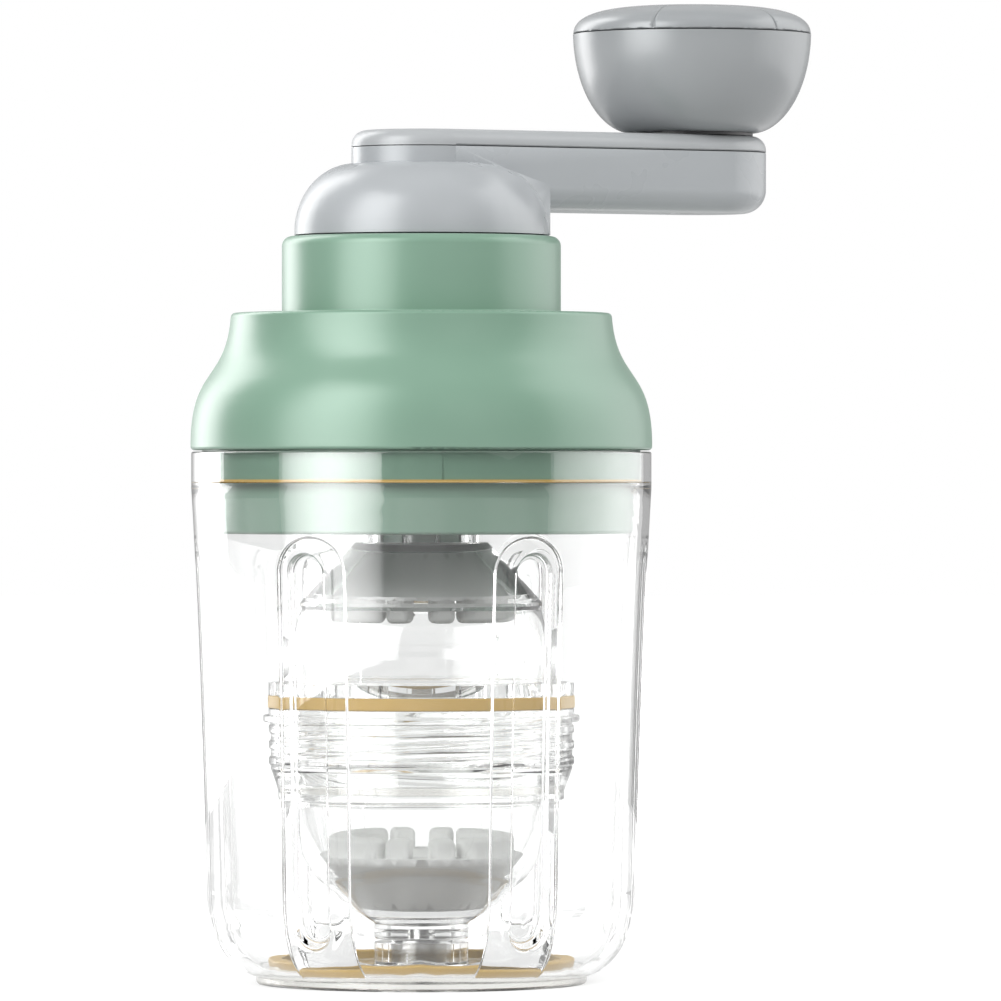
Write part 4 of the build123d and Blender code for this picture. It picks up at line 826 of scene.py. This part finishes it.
groove_spring, groove_start = groove_top - half_groove, groove_foot + half_groove
groove_steps = SIDE_STEPS + 4   # the grooves reach further down than the flutes' straight part
groove_sides = [
    groove_start + (groove_spring - groove_start) * step / groove_steps
    for step in range(groove_steps + 1)
]
outer_points, outer_faces = woven_wall(
    outside, groove_form, half_groove, GROOVE_DEPTH, groove_spring, groove_sides,
    foot=groove_start, bottom=groove_border)

print("outer wall:", len(outer_points), "points")

# %% Inner wall with flutes
flute_spring = flute_top - half_flute
corner_sides = [
    jar_waist - CORNER_LENGTH * (1 - step / CORNER_STEPS) for step in range(CORNER_STEPS)
]
flute_sides = corner_sides + [
    jar_waist + (flute_spring - jar_waist) * step / SIDE_STEPS for step in range(SIDE_STEPS + 1)
]
inner_points, inner_faces = woven_wall(
    inside, flute_form, half_flute, FLUTE_DEPTH, flute_spring, flute_sides)

print("inner wall:", len(inner_points), "points")

# %% Lip, base and floor
LIP_WALL = 1.9            # the thin lip above the lid's seat
SEAT_WALL = 2.8
SEAT_DEPTH = 6.4          # from the rim down to the lid's seat
FOOT_GROOVE_OUTER = 34.55   # the groove that holds the foot ring
FOOT_GROOVE_INNER = 30.95
FOOT_GROOVE_DEPTH = 1.0
BOSS_RADIUS = 9.9         # the boss that holds the bearing
BOSS_HEIGHT = 7.5
BEARING_BORE = 6.55
BEARING_RELIEF = 5.25     # the hollow under the bearing's inner race
BEARING_SEAT = 2.8        # height of the bearing over the jar's base

outer_top, inner_top = outside(woven_top), inside(woven_top)
lip_outline = rounded([
    (*outer_top, 0),
    (jar_radius, lip_low, 0),
    (jar_radius, lip_low + 2.5, 0),
    (jar_radius, jar_rim, 0.4),
    (jar_radius - LIP_WALL, jar_rim, 0.3),
    (jar_radius - LIP_WALL, jar_rim - SEAT_DEPTH, 0.2),
    (jar_radius - SEAT_WALL, jar_rim - SEAT_DEPTH, 0.2),
    (jar_radius - SEAT_WALL, lip_low + 0.6, 0),
    (jar_radius - JAR_WALL - 0.05, lip_low - 0.6, 0),
    (*inner_top, 0),
])
border = outside(groove_border)
base_outline = rounded([
    (*border, 0),
    (FOOT_GROOVE_OUTER + 0.35, jar_base + 0.22, 0),
    (FOOT_GROOVE_OUTER, jar_base + 0.2, 0),
    (FOOT_GROOVE_OUTER, jar_base + FOOT_GROOVE_DEPTH, 0.2),
    (FOOT_GROOVE_INNER, jar_base + FOOT_GROOVE_DEPTH, 0.2),
    (FOOT_GROOVE_INNER, jar_base, 0.2),
    (0, jar_base, 0),
])
floor_edge = inside(jar_waist - CORNER_LENGTH)
boss_top = jar_base + BOSS_HEIGHT
floor_outline = rounded([
    (*floor_edge, 0),
    (28.0, floor_edge.y, 0),
    (BOSS_RADIUS, floor_edge.y, 0.6),
    (BOSS_RADIUS, boss_top, EDGE),
    (BEARING_BORE, boss_top, EDGE),
    (BEARING_BORE, jar_base + BEARING_SEAT, 0.15),
    (BEARING_RELIEF, jar_base + BEARING_SEAT, 0.15),
    (BEARING_RELIEF, floor_edge.y, 0.15),
    (0, floor_edge.y, 0),
])
print("the jar's lip has", len(lip_outline), "rows")

# %% The jar in one piece
jar_points, jar_faces = [], []
for points, faces in (
    (outer_points, outer_faces),
    (inner_points, inner_faces),
    turned_wall(lip_outline, shared_turns(outer_points, *outer_top)),
    turned_wall(base_outline, shared_turns(outer_points, *border)),
    turned_wall(floor_outline, shared_turns(inner_points, *floor_edge)),
):
    start = len(jar_points)
    jar_points += [(x * MM, y * MM, z * MM) for x, y, z in points]
    jar_faces += [tuple(start + index for index in face) for face in faces]
jar_mesh = bpy.data.meshes.new("jar_clear")
jar_mesh.from_pydata(jar_points, [], jar_faces)
jar_clear = bpy.data.objects.new("jar_clear", jar_mesh)
bpy.context.scene.collection.objects.link(jar_clear)
close_and_shade(jar_clear, "jar_body")

remodelled = {
    "jar_body": jar_clear,
    "capsule_lower": lower_shell,
    "capsule_upper": upper_shell,
    "seal_ring": seal_band,
}

# %% [markdown]
# ## Materials
# Moulded plastic is never quite even: it has a faint mottle in its gloss and a fine texture
# from the mould. Both come from one node group that every moulded finish shares.

# %% Shared node group: mould texture
def new_group(name, inputs, outputs):
    """A shader node group with named number inputs and named outputs."""
    group = bpy.data.node_groups.new(name, "ShaderNodeTree")
    for socket, default in inputs.items():
        item = group.interface.new_socket(socket, in_out="INPUT", socket_type="NodeSocketFloat")
        item.default_value = default
    for socket in outputs:
        group.interface.new_socket(socket, in_out="OUTPUT", socket_type="NodeSocketFloat")
    group.nodes.new("NodeGroupInput")
    group.nodes.new("NodeGroupOutput")
    return group


def add_node(tree, kind, **values):
    """Add a node and set its plain properties or its input sockets by name."""
    node = tree.nodes.new(kind)
    for name, value in values.items():
        if name in node.inputs:
            node.inputs[name].default_value = value
        else:
            setattr(node, name, value)
    return node


MOULD_SCALES = {"Mottle Scale": 60.0, "Grain Scale": 2500.0}
mould_group = new_group("Mould Texture", MOULD_SCALES, ("Mottle", "Grain"))
group_in = mould_group.nodes["Group Input"]
group_out = mould_group.nodes["Group Output"]
place = add_node(mould_group, "ShaderNodeTexCoord")
for output, socket, detail in (("Mottle", "Mottle Scale", 3.0), ("Grain", "Grain Scale", 2.0)):
    noise = add_node(mould_group, "ShaderNodeTexNoise", Detail=detail, Roughness=0.55)
    mould_group.links.new(place.outputs["Object"], noise.inputs["Vector"])
    mould_group.links.new(group_in.outputs[socket], noise.inputs["Scale"])
    mould_group.links.new(noise.outputs["Fac"], group_out.inputs[output])
print("node group:", mould_group.name)

# %% [markdown]
# Steel pieces on the jar's axis are ground or turned, which leaves fine lines round the axis. The
# second group gives them: its noise reads only the distance from the axis and the height, so it is
# the same all the way round.

# %% Shared node group: turned lines
turned_group = new_group("Turned Lines", {"Line Scale": 900.0}, ("Lines",))
group_in = turned_group.nodes["Group Input"]
group_out = turned_group.nodes["Group Output"]
place = add_node(turned_group, "ShaderNodeTexCoord")
split = add_node(turned_group, "ShaderNodeSeparateXYZ")
off_axis = add_node(turned_group, "ShaderNodeVectorMath", operation="LENGTH")
flatten = add_node(turned_group, "ShaderNodeVectorMath", operation="MULTIPLY")
flatten.inputs[1].default_value = (1.0, 1.0, 0.0)
joined = add_node(turned_group, "ShaderNodeCombineXYZ")
lines = add_node(turned_group, "ShaderNodeTexNoise", Detail=3.0, Roughness=0.6)
turned_group.links.new(place.outputs["Object"], split.inputs[0])
turned_group.links.new(place.outputs["Object"], flatten.inputs[0])
turned_group.links.new(flatten.outputs[0], off_axis.inputs[0])
turned_group.links.new(off_axis.outputs["Value"], joined.inputs["X"])
turned_group.links.new(split.outputs["Z"], joined.inputs["Z"])
turned_group.links.new(joined.outputs[0], lines.inputs["Vector"])
turned_group.links.new(group_in.outputs["Line Scale"], lines.inputs["Scale"])
turned_group.links.new(lines.outputs["Fac"], group_out.inputs["Lines"])
print("node group:", turned_group.name)

# %% [markdown]
# Opaque mouldings use one recipe: two close shades mixed by the mottle, a gloss that the mottle
# varies a little, and a bump from the mould's grain.

# %% Material helpers
def use_group(tree, group, **values):
    """Place a shared node group in a material with its own values."""
    node = tree.nodes.new("ShaderNodeGroup")
    node.node_tree = group
    for name, value in values.items():
        node.inputs[name.replace("_", " ")].default_value = value
    return node


def new_material(name):
    """A material with an empty tree but for its Principled BSDF and its output."""
    material = bpy.data.materials.new(name)
    material.use_nodes = True
    tree = material.node_tree
    return material, tree, tree.nodes["Principled BSDF"]


def map_value(tree, source, low, high):
    """Map a 0 to 1 mask to a range of values."""
    node = add_node(tree, "ShaderNodeMapRange")
    node.inputs["To Min"].default_value = low
    node.inputs["To Max"].default_value = high
    tree.links.new(source, node.inputs["Value"])
    return node.outputs["Result"]


def mix_shades(tree, mask, dark, light):
    """Mix two colours by a mask."""
    node = add_node(tree, "ShaderNodeMix", data_type="RGBA")
    for socket in node.inputs:
        if socket.name == "A" and socket.type == "RGBA":
            socket.default_value = (*dark, 1.0)
        if socket.name == "B" and socket.type == "RGBA":
            socket.default_value = (*light, 1.0)
    tree.links.new(mask, node.inputs["Factor"])
    return next(s for s in node.outputs if s.type == "RGBA")


def bump(tree, shader, height, strength, depth_mm):
    """Feed a height into a shader's normal."""
    node = add_node(tree, "ShaderNodeBump", Strength=strength, Distance=depth_mm * MM)
    tree.links.new(height, node.inputs["Height"])
    tree.links.new(node.outputs["Normal"], shader.inputs["Normal"])


# %% Moulded finishes
SHADE_CHANGE = 0.04       # share by which the mottle darkens and lightens the colour
GLOSS_CHANGE = 0.1
GRAIN_DEPTH = 0.006       # mm


def moulded(name, colour, roughness):
    """An opaque moulded finish of a colour and a roughness."""
    material, tree, shader = new_material(name)
    texture = use_group(tree, mould_group)
    dark = [channel * (1 - SHADE_CHANGE) for channel in colour]
    light = [channel * (1 + SHADE_CHANGE) for channel in colour]
    tree.links.new(mix_shades(tree, texture.outputs["Mottle"], dark, light), shader.inputs["Base Color"])
    smoother, rougher = roughness * (1 - GLOSS_CHANGE), roughness * (1 + GLOSS_CHANGE)
    gloss = map_value(tree, texture.outputs["Mottle"], smoother, rougher)
    tree.links.new(gloss, shader.inputs["Roughness"])
    bump(tree, shader, texture.outputs["Grain"], 0.35, GRAIN_DEPTH)
    return material


green_plastic = moulded("sage green plastic", (0.212, 0.345, 0.262), 0.30)
arm_plastic = moulded("pale grey plastic", (0.41, 0.425, 0.435), 0.32)
dome_plastic = moulded("light grey plastic", (0.40, 0.42, 0.435), 0.28)
gold_silicone = moulded("gold silicone", (0.66, 0.43, 0.12), 0.42)
grey_silicone = moulded("grey silicone", (0.80, 0.80, 0.79), 0.5)
# the knob's grey is the arm's grey darkened: painted shade for its downward-facing bowl
shaded_knob_plastic = moulded("shaded grey knob plastic", (0.33, 0.345, 0.355), 0.26)
gear_plastic = moulded("natural gear plastic", (0.78, 0.76, 0.70), 0.45)
black_plastic = moulded("black bearing plastic", (0.03, 0.03, 0.032), 0.5)
print("moulded finishes:", len(bpy.data.materials))

# %% [markdown]
# ## Clear plastic
# The jar and the capsule are polished clear plastic. It bends light as the real wall does, and
# its faces are very slightly wavy. Lamps shine through it: for the rays that look for a lamp it
# is a plain, faintly tinted film, which keeps the inside of the jar bright and free of speckle.
# The foot ring's silicone is made the same way, only rougher and a little yellow.

# %% Clear finishes
WAVE_SCALE = 45.0


def clear(name, tint, ior, roughness, film, wave_mm):
    """A clear finish: its tint, bending of light, roughness, and tint for rays to lamps."""
    material, tree, shader = new_material(name)
    shader.inputs["Base Color"].default_value = (*tint, 1.0)
    shader.inputs["Transmission Weight"].default_value = 1.0
    shader.inputs["IOR"].default_value = ior
    shader.inputs["Roughness"].default_value = roughness
    texture = use_group(tree, mould_group, Mottle_Scale=WAVE_SCALE)
    bump(tree, shader, texture.outputs["Mottle"], 0.25, wave_mm)
    through = add_node(tree, "ShaderNodeBsdfTransparent")
    through.inputs["Color"].default_value = (*film, 1.0)
    path = add_node(tree, "ShaderNodeLightPath")
    choice = add_node(tree, "ShaderNodeMixShader")
    tree.links.new(path.outputs["Is Shadow Ray"], choice.inputs["Fac"])
    tree.links.new(shader.outputs["BSDF"], choice.inputs[1])
    tree.links.new(through.outputs["BSDF"], choice.inputs[2])
    tree.links.new(choice.outputs["Shader"], tree.nodes["Material Output"].inputs["Surface"])
    return material


clear_plastic = clear("clear plastic", (0.997, 1.0, 0.998), 1.5, 0.0, (0.985, 0.99, 0.987), 0.012)
foot_silicone = clear("translucent silicone", (0.97, 0.96, 0.93), 1.41, 0.2, (0.9, 0.9, 0.88), 0.01)
print("clear finishes:", clear_plastic.name, "and", foot_silicone.name)

# %% [markdown]
# ## Steel
# The bearing and the axles are bright ground steel with fine turned lines.

# %% Steel
STEEL_DARK = (0.26, 0.26, 0.255)
STEEL_LIGHT = (0.42, 0.42, 0.415)
steel, tree, shader = new_material("ground steel")
shader.inputs["Metallic"].default_value = 1.0
ground = use_group(tree, turned_group, Line_Scale=1400.0)
shades = mix_shades(tree, ground.outputs["Lines"], STEEL_DARK, STEEL_LIGHT)
tree.links.new(shades, shader.inputs["Base Color"])
tree.links.new(map_value(tree, ground.outputs["Lines"], 0.14, 0.3), shader.inputs["Roughness"])
bump(tree, shader, ground.outputs["Lines"], 0.3, 0.01)
print("steel between", STEEL_DARK[0], "and", STEEL_LIGHT[0])

# %% [markdown]
# ## Finish for each CAD piece
# Every piece gets its finish from the material slot that the record names for it. The knob shares
# the arm's slot, but it has its own glossier grey, darkened as painted shade because its bowl faces
# down and gets less light.

# %% Finishes by slot
FINISH = {
    "clear_plastic": clear_plastic,
    "green_plastic": green_plastic,
    "grey_plastic": arm_plastic,
    "dome_plastic": dome_plastic,
    "gold_silicone": gold_silicone,
    "grey_silicone": grey_silicone,
    "foot_silicone": foot_silicone,
    "steel": steel,
    "gear_plastic": gear_plastic,
    "bush_plastic": black_plastic,
}
KNOB_NODES = ("knob_bowl", "knob_cap")
slot_of = {part["node"]: part["material_slot"] for part in frame["record"]["subparts"]}


def finish(piece, slot_name):
    """Give a piece the material of the record's slot that it stands for."""
    piece.data.materials.clear()
    piece.data.materials.append(FINISH[slot_name])


for node in sorted(frame["nodes"]):
    if node in remodelled:
        finish(remodelled[node], slot_of[node])
    else:
        piece = smooth_copy(node, node + "_smooth")
        finish(piece, slot_of[node])
        # the knob gets the darker grey that carries painted shade
        if node in KNOB_NODES:
            piece.data.materials[0] = shaded_knob_plastic
print("finished pieces:", len(frame["nodes"]))

# %% [markdown]
# ## Studio
# The photo's background is plain white, and clear plastic takes its whole look from what stands
# round it. So the studio has three layers. The floor and the world show as white to the camera.
# Soft lamps light the object at a plain level. Upright cards, which only reflections see, stand
# where the photo's softboxes stood, because their hard-edged bands are what makes the jar read
# as polished.
#
# The world shows each kind of ray its own level, which the Light Path node tells apart.

# %% Levels of the world
AMBIENT = 0.36            # what the world adds to the lamps
REFLECTED = 0.08          # a dim room, between the cards
SHOWN = 1.0               # plain white for the camera
THROUGH_LEVEL = 0.82      # the same white seen through the clear plastic
THROUGH_DIM = 0.22        # what a strongly bent view through the jar's wall meets
WALL_GREY = 0.22          # what a view meets that was mirrored inside the jar's wall
LOBE_COUNT = 8            # directions in which the view through the jar stays pale
LOBE_HALF_WIDTH = 9.0     # degrees
LOBE_FADE = 5.0           # degrees


def math_node(tree, operation, first, second=0.0):
    """One Math node; each operand is a socket or a number."""
    node = add_node(tree, "ShaderNodeMath", operation=operation)
    for place, value in enumerate((first, second)):
        if isinstance(value, (int, float)):
            node.inputs[place].default_value = value
        else:
            tree.links.new(value, node.inputs[place])
    return node.outputs[0]


def pick_value(tree, factor, low, high):
    """Blend two values, each a socket or a number, by a factor."""
    node = add_node(tree, "ShaderNodeMix", data_type="FLOAT")
    tree.links.new(factor, node.inputs["Factor"])
    for name, value in (("A", low), ("B", high)):
        if isinstance(value, (int, float)):
            node.inputs[name].default_value = value
        else:
            tree.links.new(value, node.inputs[name])
    return node.outputs["Result"]


# %% [markdown]
# A ray's history matters more than its last bounce. Once it has met a matt surface it only brings
# light. Once it was mirrored, even inside the jar's wall, it shows the room and not the backdrop.

# %% Kinds of rays
def lit_share(tree, path):
    """1 for a ray that has met a matt surface, and so brings light rather than a view."""
    return math_node(tree, "MINIMUM", path.outputs["Diffuse Depth"], 1.0)


def mirrored_share(tree, path):
    """1 for a ray that was mirrored at least once, also inside the wall of the jar."""
    return math_node(tree, "MINIMUM", path.outputs["Glossy Depth"], 1.0)


# %% [markdown]
# A ray that passes straight through the jar must meet white, or the jar would look like smoked
# glass. A ray that grazes the wall is bent by 12 degrees or more, and in the photo it meets the
# grey of the room, which draws the jar's sides. The world gives both: pale lobes in eight
# directions, one for each side that the jar is looked at from, with grey between them.

# %% Lobes
def through_level(tree, direction):
    """How bright a direction is for rays that come through clear plastic."""
    split = add_node(tree, "ShaderNodeSeparateXYZ")
    tree.links.new(direction, split.inputs[0])
    angle = math_node(tree, "ARCTAN2", split.outputs["X"], split.outputs["Y"])
    lobe = math.radians(360.0 / LOBE_COUNT)
    shifted = math_node(tree, "ADD", angle, 2 * math.pi + lobe / 2)
    within = math_node(tree, "MODULO", shifted, lobe)
    off_centre = math_node(tree, "ABSOLUTE", math_node(tree, "SUBTRACT", within, lobe / 2))
    fade = add_node(tree, "ShaderNodeMapRange", interpolation_type="SMOOTHSTEP")
    fade.inputs["From Min"].default_value = math.radians(LOBE_HALF_WIDTH)
    fade.inputs["From Max"].default_value = math.radians(LOBE_HALF_WIDTH + LOBE_FADE)
    fade.inputs["To Min"].default_value = THROUGH_LEVEL
    fade.inputs["To Max"].default_value = THROUGH_DIM
    tree.links.new(off_centre, fade.inputs["Value"])
    return fade.outputs["Result"]


# %% World
world = bpy.data.worlds.new("studio")
bpy.context.scene.world = world
world.use_nodes = True
world.cycles.sampling_method = "NONE"   # an even sky needs no rays aimed at it
tree = world.node_tree
sky = tree.nodes["Background"]
sky.inputs["Color"].default_value = (1.0, 1.0, 1.0, 1.0)
direction = add_node(tree, "ShaderNodeTexCoord").outputs["Generated"]
path = add_node(tree, "ShaderNodeLightPath")
level = pick_value(tree, mirrored_share(tree, path), through_level(tree, direction), WALL_GREY)
level = pick_value(tree, path.outputs["Is Transmission Ray"], REFLECTED, level)
level = pick_value(tree, lit_share(tree, path), level, AMBIENT)
level = pick_value(tree, path.outputs["Is Camera Ray"], level, SHOWN)
tree.links.new(level, sky.inputs["Strength"])
print("world: ambient", AMBIENT, "reflected", REFLECTED)

# %% [markdown]
# The floor is a wide pale sheet. Near the object it takes the lamps' light and a soft shadow. A
# glow, which only rays that show the floor can see, lifts it to white, and grows with the distance
# because the lamps' light fades there. For views through the jar it has the same lobes as the
# world, so that no horizon shows.

# %% Floor
FLOOR_SIDE = 12.0
FLOOR_PAINT = 0.5
FLOOR_GLOW = 0.6          # lifts the lit floor to white for the rays that show it
GLOW_NEAR, GLOW_FAR = 0.5, 1.8   # metres: past the lamps' pool the glow makes most of the white
FAR_GLOW = 0.84
LOBES_FROM = 0.2          # metres: nearer than this the floor is white from every side
GLOW_RANGE = {
    "From Min": GLOW_NEAR, "From Max": GLOW_FAR,
    "To Min": FLOOR_GLOW, "To Max": FAR_GLOW,
}

bpy.ops.mesh.primitive_plane_add(size=FLOOR_SIDE, location=(0, 0, 0))
floor = bpy.context.object
floor.name = "floor"
floor_paint, tree, shader = new_material("white floor")
floor_paint.cycles.emission_sampling = "NONE"
shader.inputs["Base Color"].default_value = (FLOOR_PAINT, FLOOR_PAINT, FLOOR_PAINT, 1.0)
shader.inputs["Roughness"].default_value = 0.9
shader.inputs["Specular IOR Level"].default_value = 0.0
shader.inputs["Emission Color"].default_value = (1.0, 1.0, 1.0, 1.0)
place = add_node(tree, "ShaderNodeTexCoord").outputs["Object"]
reach = add_node(tree, "ShaderNodeVectorMath", operation="LENGTH")
tree.links.new(place, reach.inputs[0])
glow = add_node(tree, "ShaderNodeMapRange", interpolation_type="SMOOTHSTEP")
for name, value in GLOW_RANGE.items():
    glow.inputs[name].default_value = value
tree.links.new(reach.outputs["Value"], glow.inputs["Value"])
path = add_node(tree, "ShaderNodeLightPath")
far = math_node(tree, "GREATER_THAN", reach.outputs["Value"], LOBES_FROM)
seen_through = math_node(tree, "MULTIPLY", far, path.outputs["Is Transmission Ray"])
dimmed = math_node(tree, "MULTIPLY", glow.outputs["Result"], through_level(tree, place))
level = pick_value(tree, seen_through, glow.outputs["Result"], dimmed)
level = pick_value(tree, lit_share(tree, path), level, 0.0)
tree.links.new(level, shader.inputs["Emission Strength"])
floor.data.materials.append(floor_paint)
print("floor:", FLOOR_SIDE, "m")

# %% [markdown]
# Lamps stand round the object. A lamp of power P gives a white surface that faces it, at a
# distance d, the brightness P / (pi * d) ** 2, so the power is worked out from the brightness
# wanted. The lamps are hidden from mirrored and refracted rays, because there the cards take
# their place.

# %% Lamps
TARGET = Vector((0.0, 0.0, 0.12))


def from_side(side, height, distance):
    """A place seen from the object: degrees from the camera's side, positive to the right."""
    turn, rise = math.radians(side), math.radians(height)
    ground = math.cos(rise) * distance
    return TARGET + Vector((math.sin(turn) * ground, -math.cos(turn) * ground, math.sin(rise) * distance))


def lamp(name, side, height, distance, size, brightness):
    """A square soft lamp that lights only matt surfaces, with the brightness that it gives."""
    light = bpy.data.lights.new(name, "AREA")
    light.shape = "SQUARE"
    light.size = size
    light.energy = brightness * (math.pi * distance) ** 2
    holder = bpy.data.objects.new(name, light)
    bpy.context.scene.collection.objects.link(holder)
    holder.location = from_side(side, height, distance)
    holder.rotation_euler = (TARGET - holder.location).to_track_quat("-Z", "Y").to_euler()
    holder.visible_camera = False
    holder.visible_glossy = False
    holder.visible_transmission = False
    return holder


lamp("key lamp", -42, 34, 1.7, 0.9, 0.68)
lamp("front right lamp", 30, 20, 1.8, 0.9, 0.20)
lamp("right lamp", 92, 25, 1.6, 0.8, 0.30)
lamp("left rim lamp", -128, 22, 1.6, 0.8, 0.18)
lamp("back lamp", 170, 32, 1.7, 0.9, 0.34)
lamp("top lamp", 20, 84, 1.4, 0.9, 0.25)
print("lamps:", len(bpy.data.lights))

# %% [markdown]
# Each card is an upright strip of a circle round the jar. Its glow changes from one edge over
# the middle to the other edge, as a softbox is brightest where its lamp sits.

# %% Glow of a card
def card_paint(name, glows):
    """A glow that follows the card's U from edge to edge through evenly spaced values."""
    paint = bpy.data.materials.new(name)
    paint.use_nodes = True
    paint.cycles.emission_sampling = "NONE"
    tree = paint.node_tree
    tree.nodes.clear()
    split = add_node(tree, "ShaderNodeSeparateXYZ")
    ramp = add_node(tree, "ShaderNodeFloatCurve")
    shine = add_node(tree, "ShaderNodeEmission")
    out = add_node(tree, "ShaderNodeOutputMaterial")
    top = max(glows)
    curve = ramp.mapping.curves[0]
    for index, glow in enumerate(glows):
        place = index / (len(glows) - 1)
        if index in (0, len(glows) - 1):
            curve.points[0 if index == 0 else -1].location = (place, glow / top)
        else:
            curve.points.new(place, glow / top)
    ramp.mapping.update()
    tree.links.new(add_node(tree, "ShaderNodeUVMap").outputs[0], split.inputs[0])
    tree.links.new(split.outputs["X"], ramp.inputs["Value"])
    tree.links.new(math_node(tree, "MULTIPLY", ramp.outputs[0], top), shine.inputs["Strength"])
    path = add_node(tree, "ShaderNodeLightPath")
    shows = math_node(tree, "SUBTRACT", mirrored_share(tree, path), lit_share(tree, path))
    choice = add_node(tree, "ShaderNodeMixShader")
    tree.links.new(shows, choice.inputs["Fac"])
    tree.links.new(add_node(tree, "ShaderNodeBsdfTransparent").outputs[0], choice.inputs[1])
    tree.links.new(shine.outputs[0], choice.inputs[2])
    tree.links.new(choice.outputs[0], out.inputs["Surface"])
    return paint


# %% Reflector cards
CARD_DISTANCE = 0.75
CARD_LOW, CARD_HIGH = -0.05, 1.1
CARD_STEP = 4.0           # degrees between the card's folds


def reflector(name, first, last, glows):
    """A card between two sides of the jar, in degrees from the camera's side."""
    folds = max(2, round((last - first) / CARD_STEP))
    bpy.ops.mesh.primitive_grid_add(x_subdivisions=folds, y_subdivisions=1, size=1.0)
    card = bpy.context.object
    card.name = name
    for vertex in card.data.vertices:
        share, rise = vertex.co.x + 0.5, vertex.co.y + 0.5
        side = math.radians(first + (last - first) * share)
        height = CARD_LOW + (CARD_HIGH - CARD_LOW) * rise
        vertex.co = (math.sin(side) * CARD_DISTANCE, -math.cos(side) * CARD_DISTANCE, height)
    card.data.materials.append(card_paint(name + " glow", glows))
    card.visible_camera = False
    card.visible_diffuse = False
    card.visible_shadow = False
    print(f"{name}: {first} to {last} degrees")


reflector("front left card", -73, -18.5, (2.2, 6.6, 8.3, 6.6, 2.4))
reflector("back left card", -215, -117, (0.45, 0.45, 0.45, 0.5, 1.9, 5.6, 2.6))
reflector("right card", 68, 145, (1.7, 3.0, 3.2, 2.2, 1.2))

# %% [markdown]
# A view through the jar and the capsule crosses a dozen faces or more, so rays may bend often.
# Light that has bent through the clear walls may light the egg seats, which keeps them pale.

# %% Light paths
cycles = bpy.context.scene.cycles
cycles.max_bounces = 28
cycles.transmission_bounces = 26
cycles.transparent_max_bounces = 24
cycles.glossy_bounces = 8
cycles.diffuse_bounces = 4
cycles.caustics_reflective = False
cycles.caustics_refractive = True
print("bends allowed:", cycles.transmission_bounces)

# %% [markdown]
# ## Last steps
# The view settings stay plain, so that a colour shows as it is written.

# %% Finish
bpy.context.scene.view_settings.view_transform = "Standard"
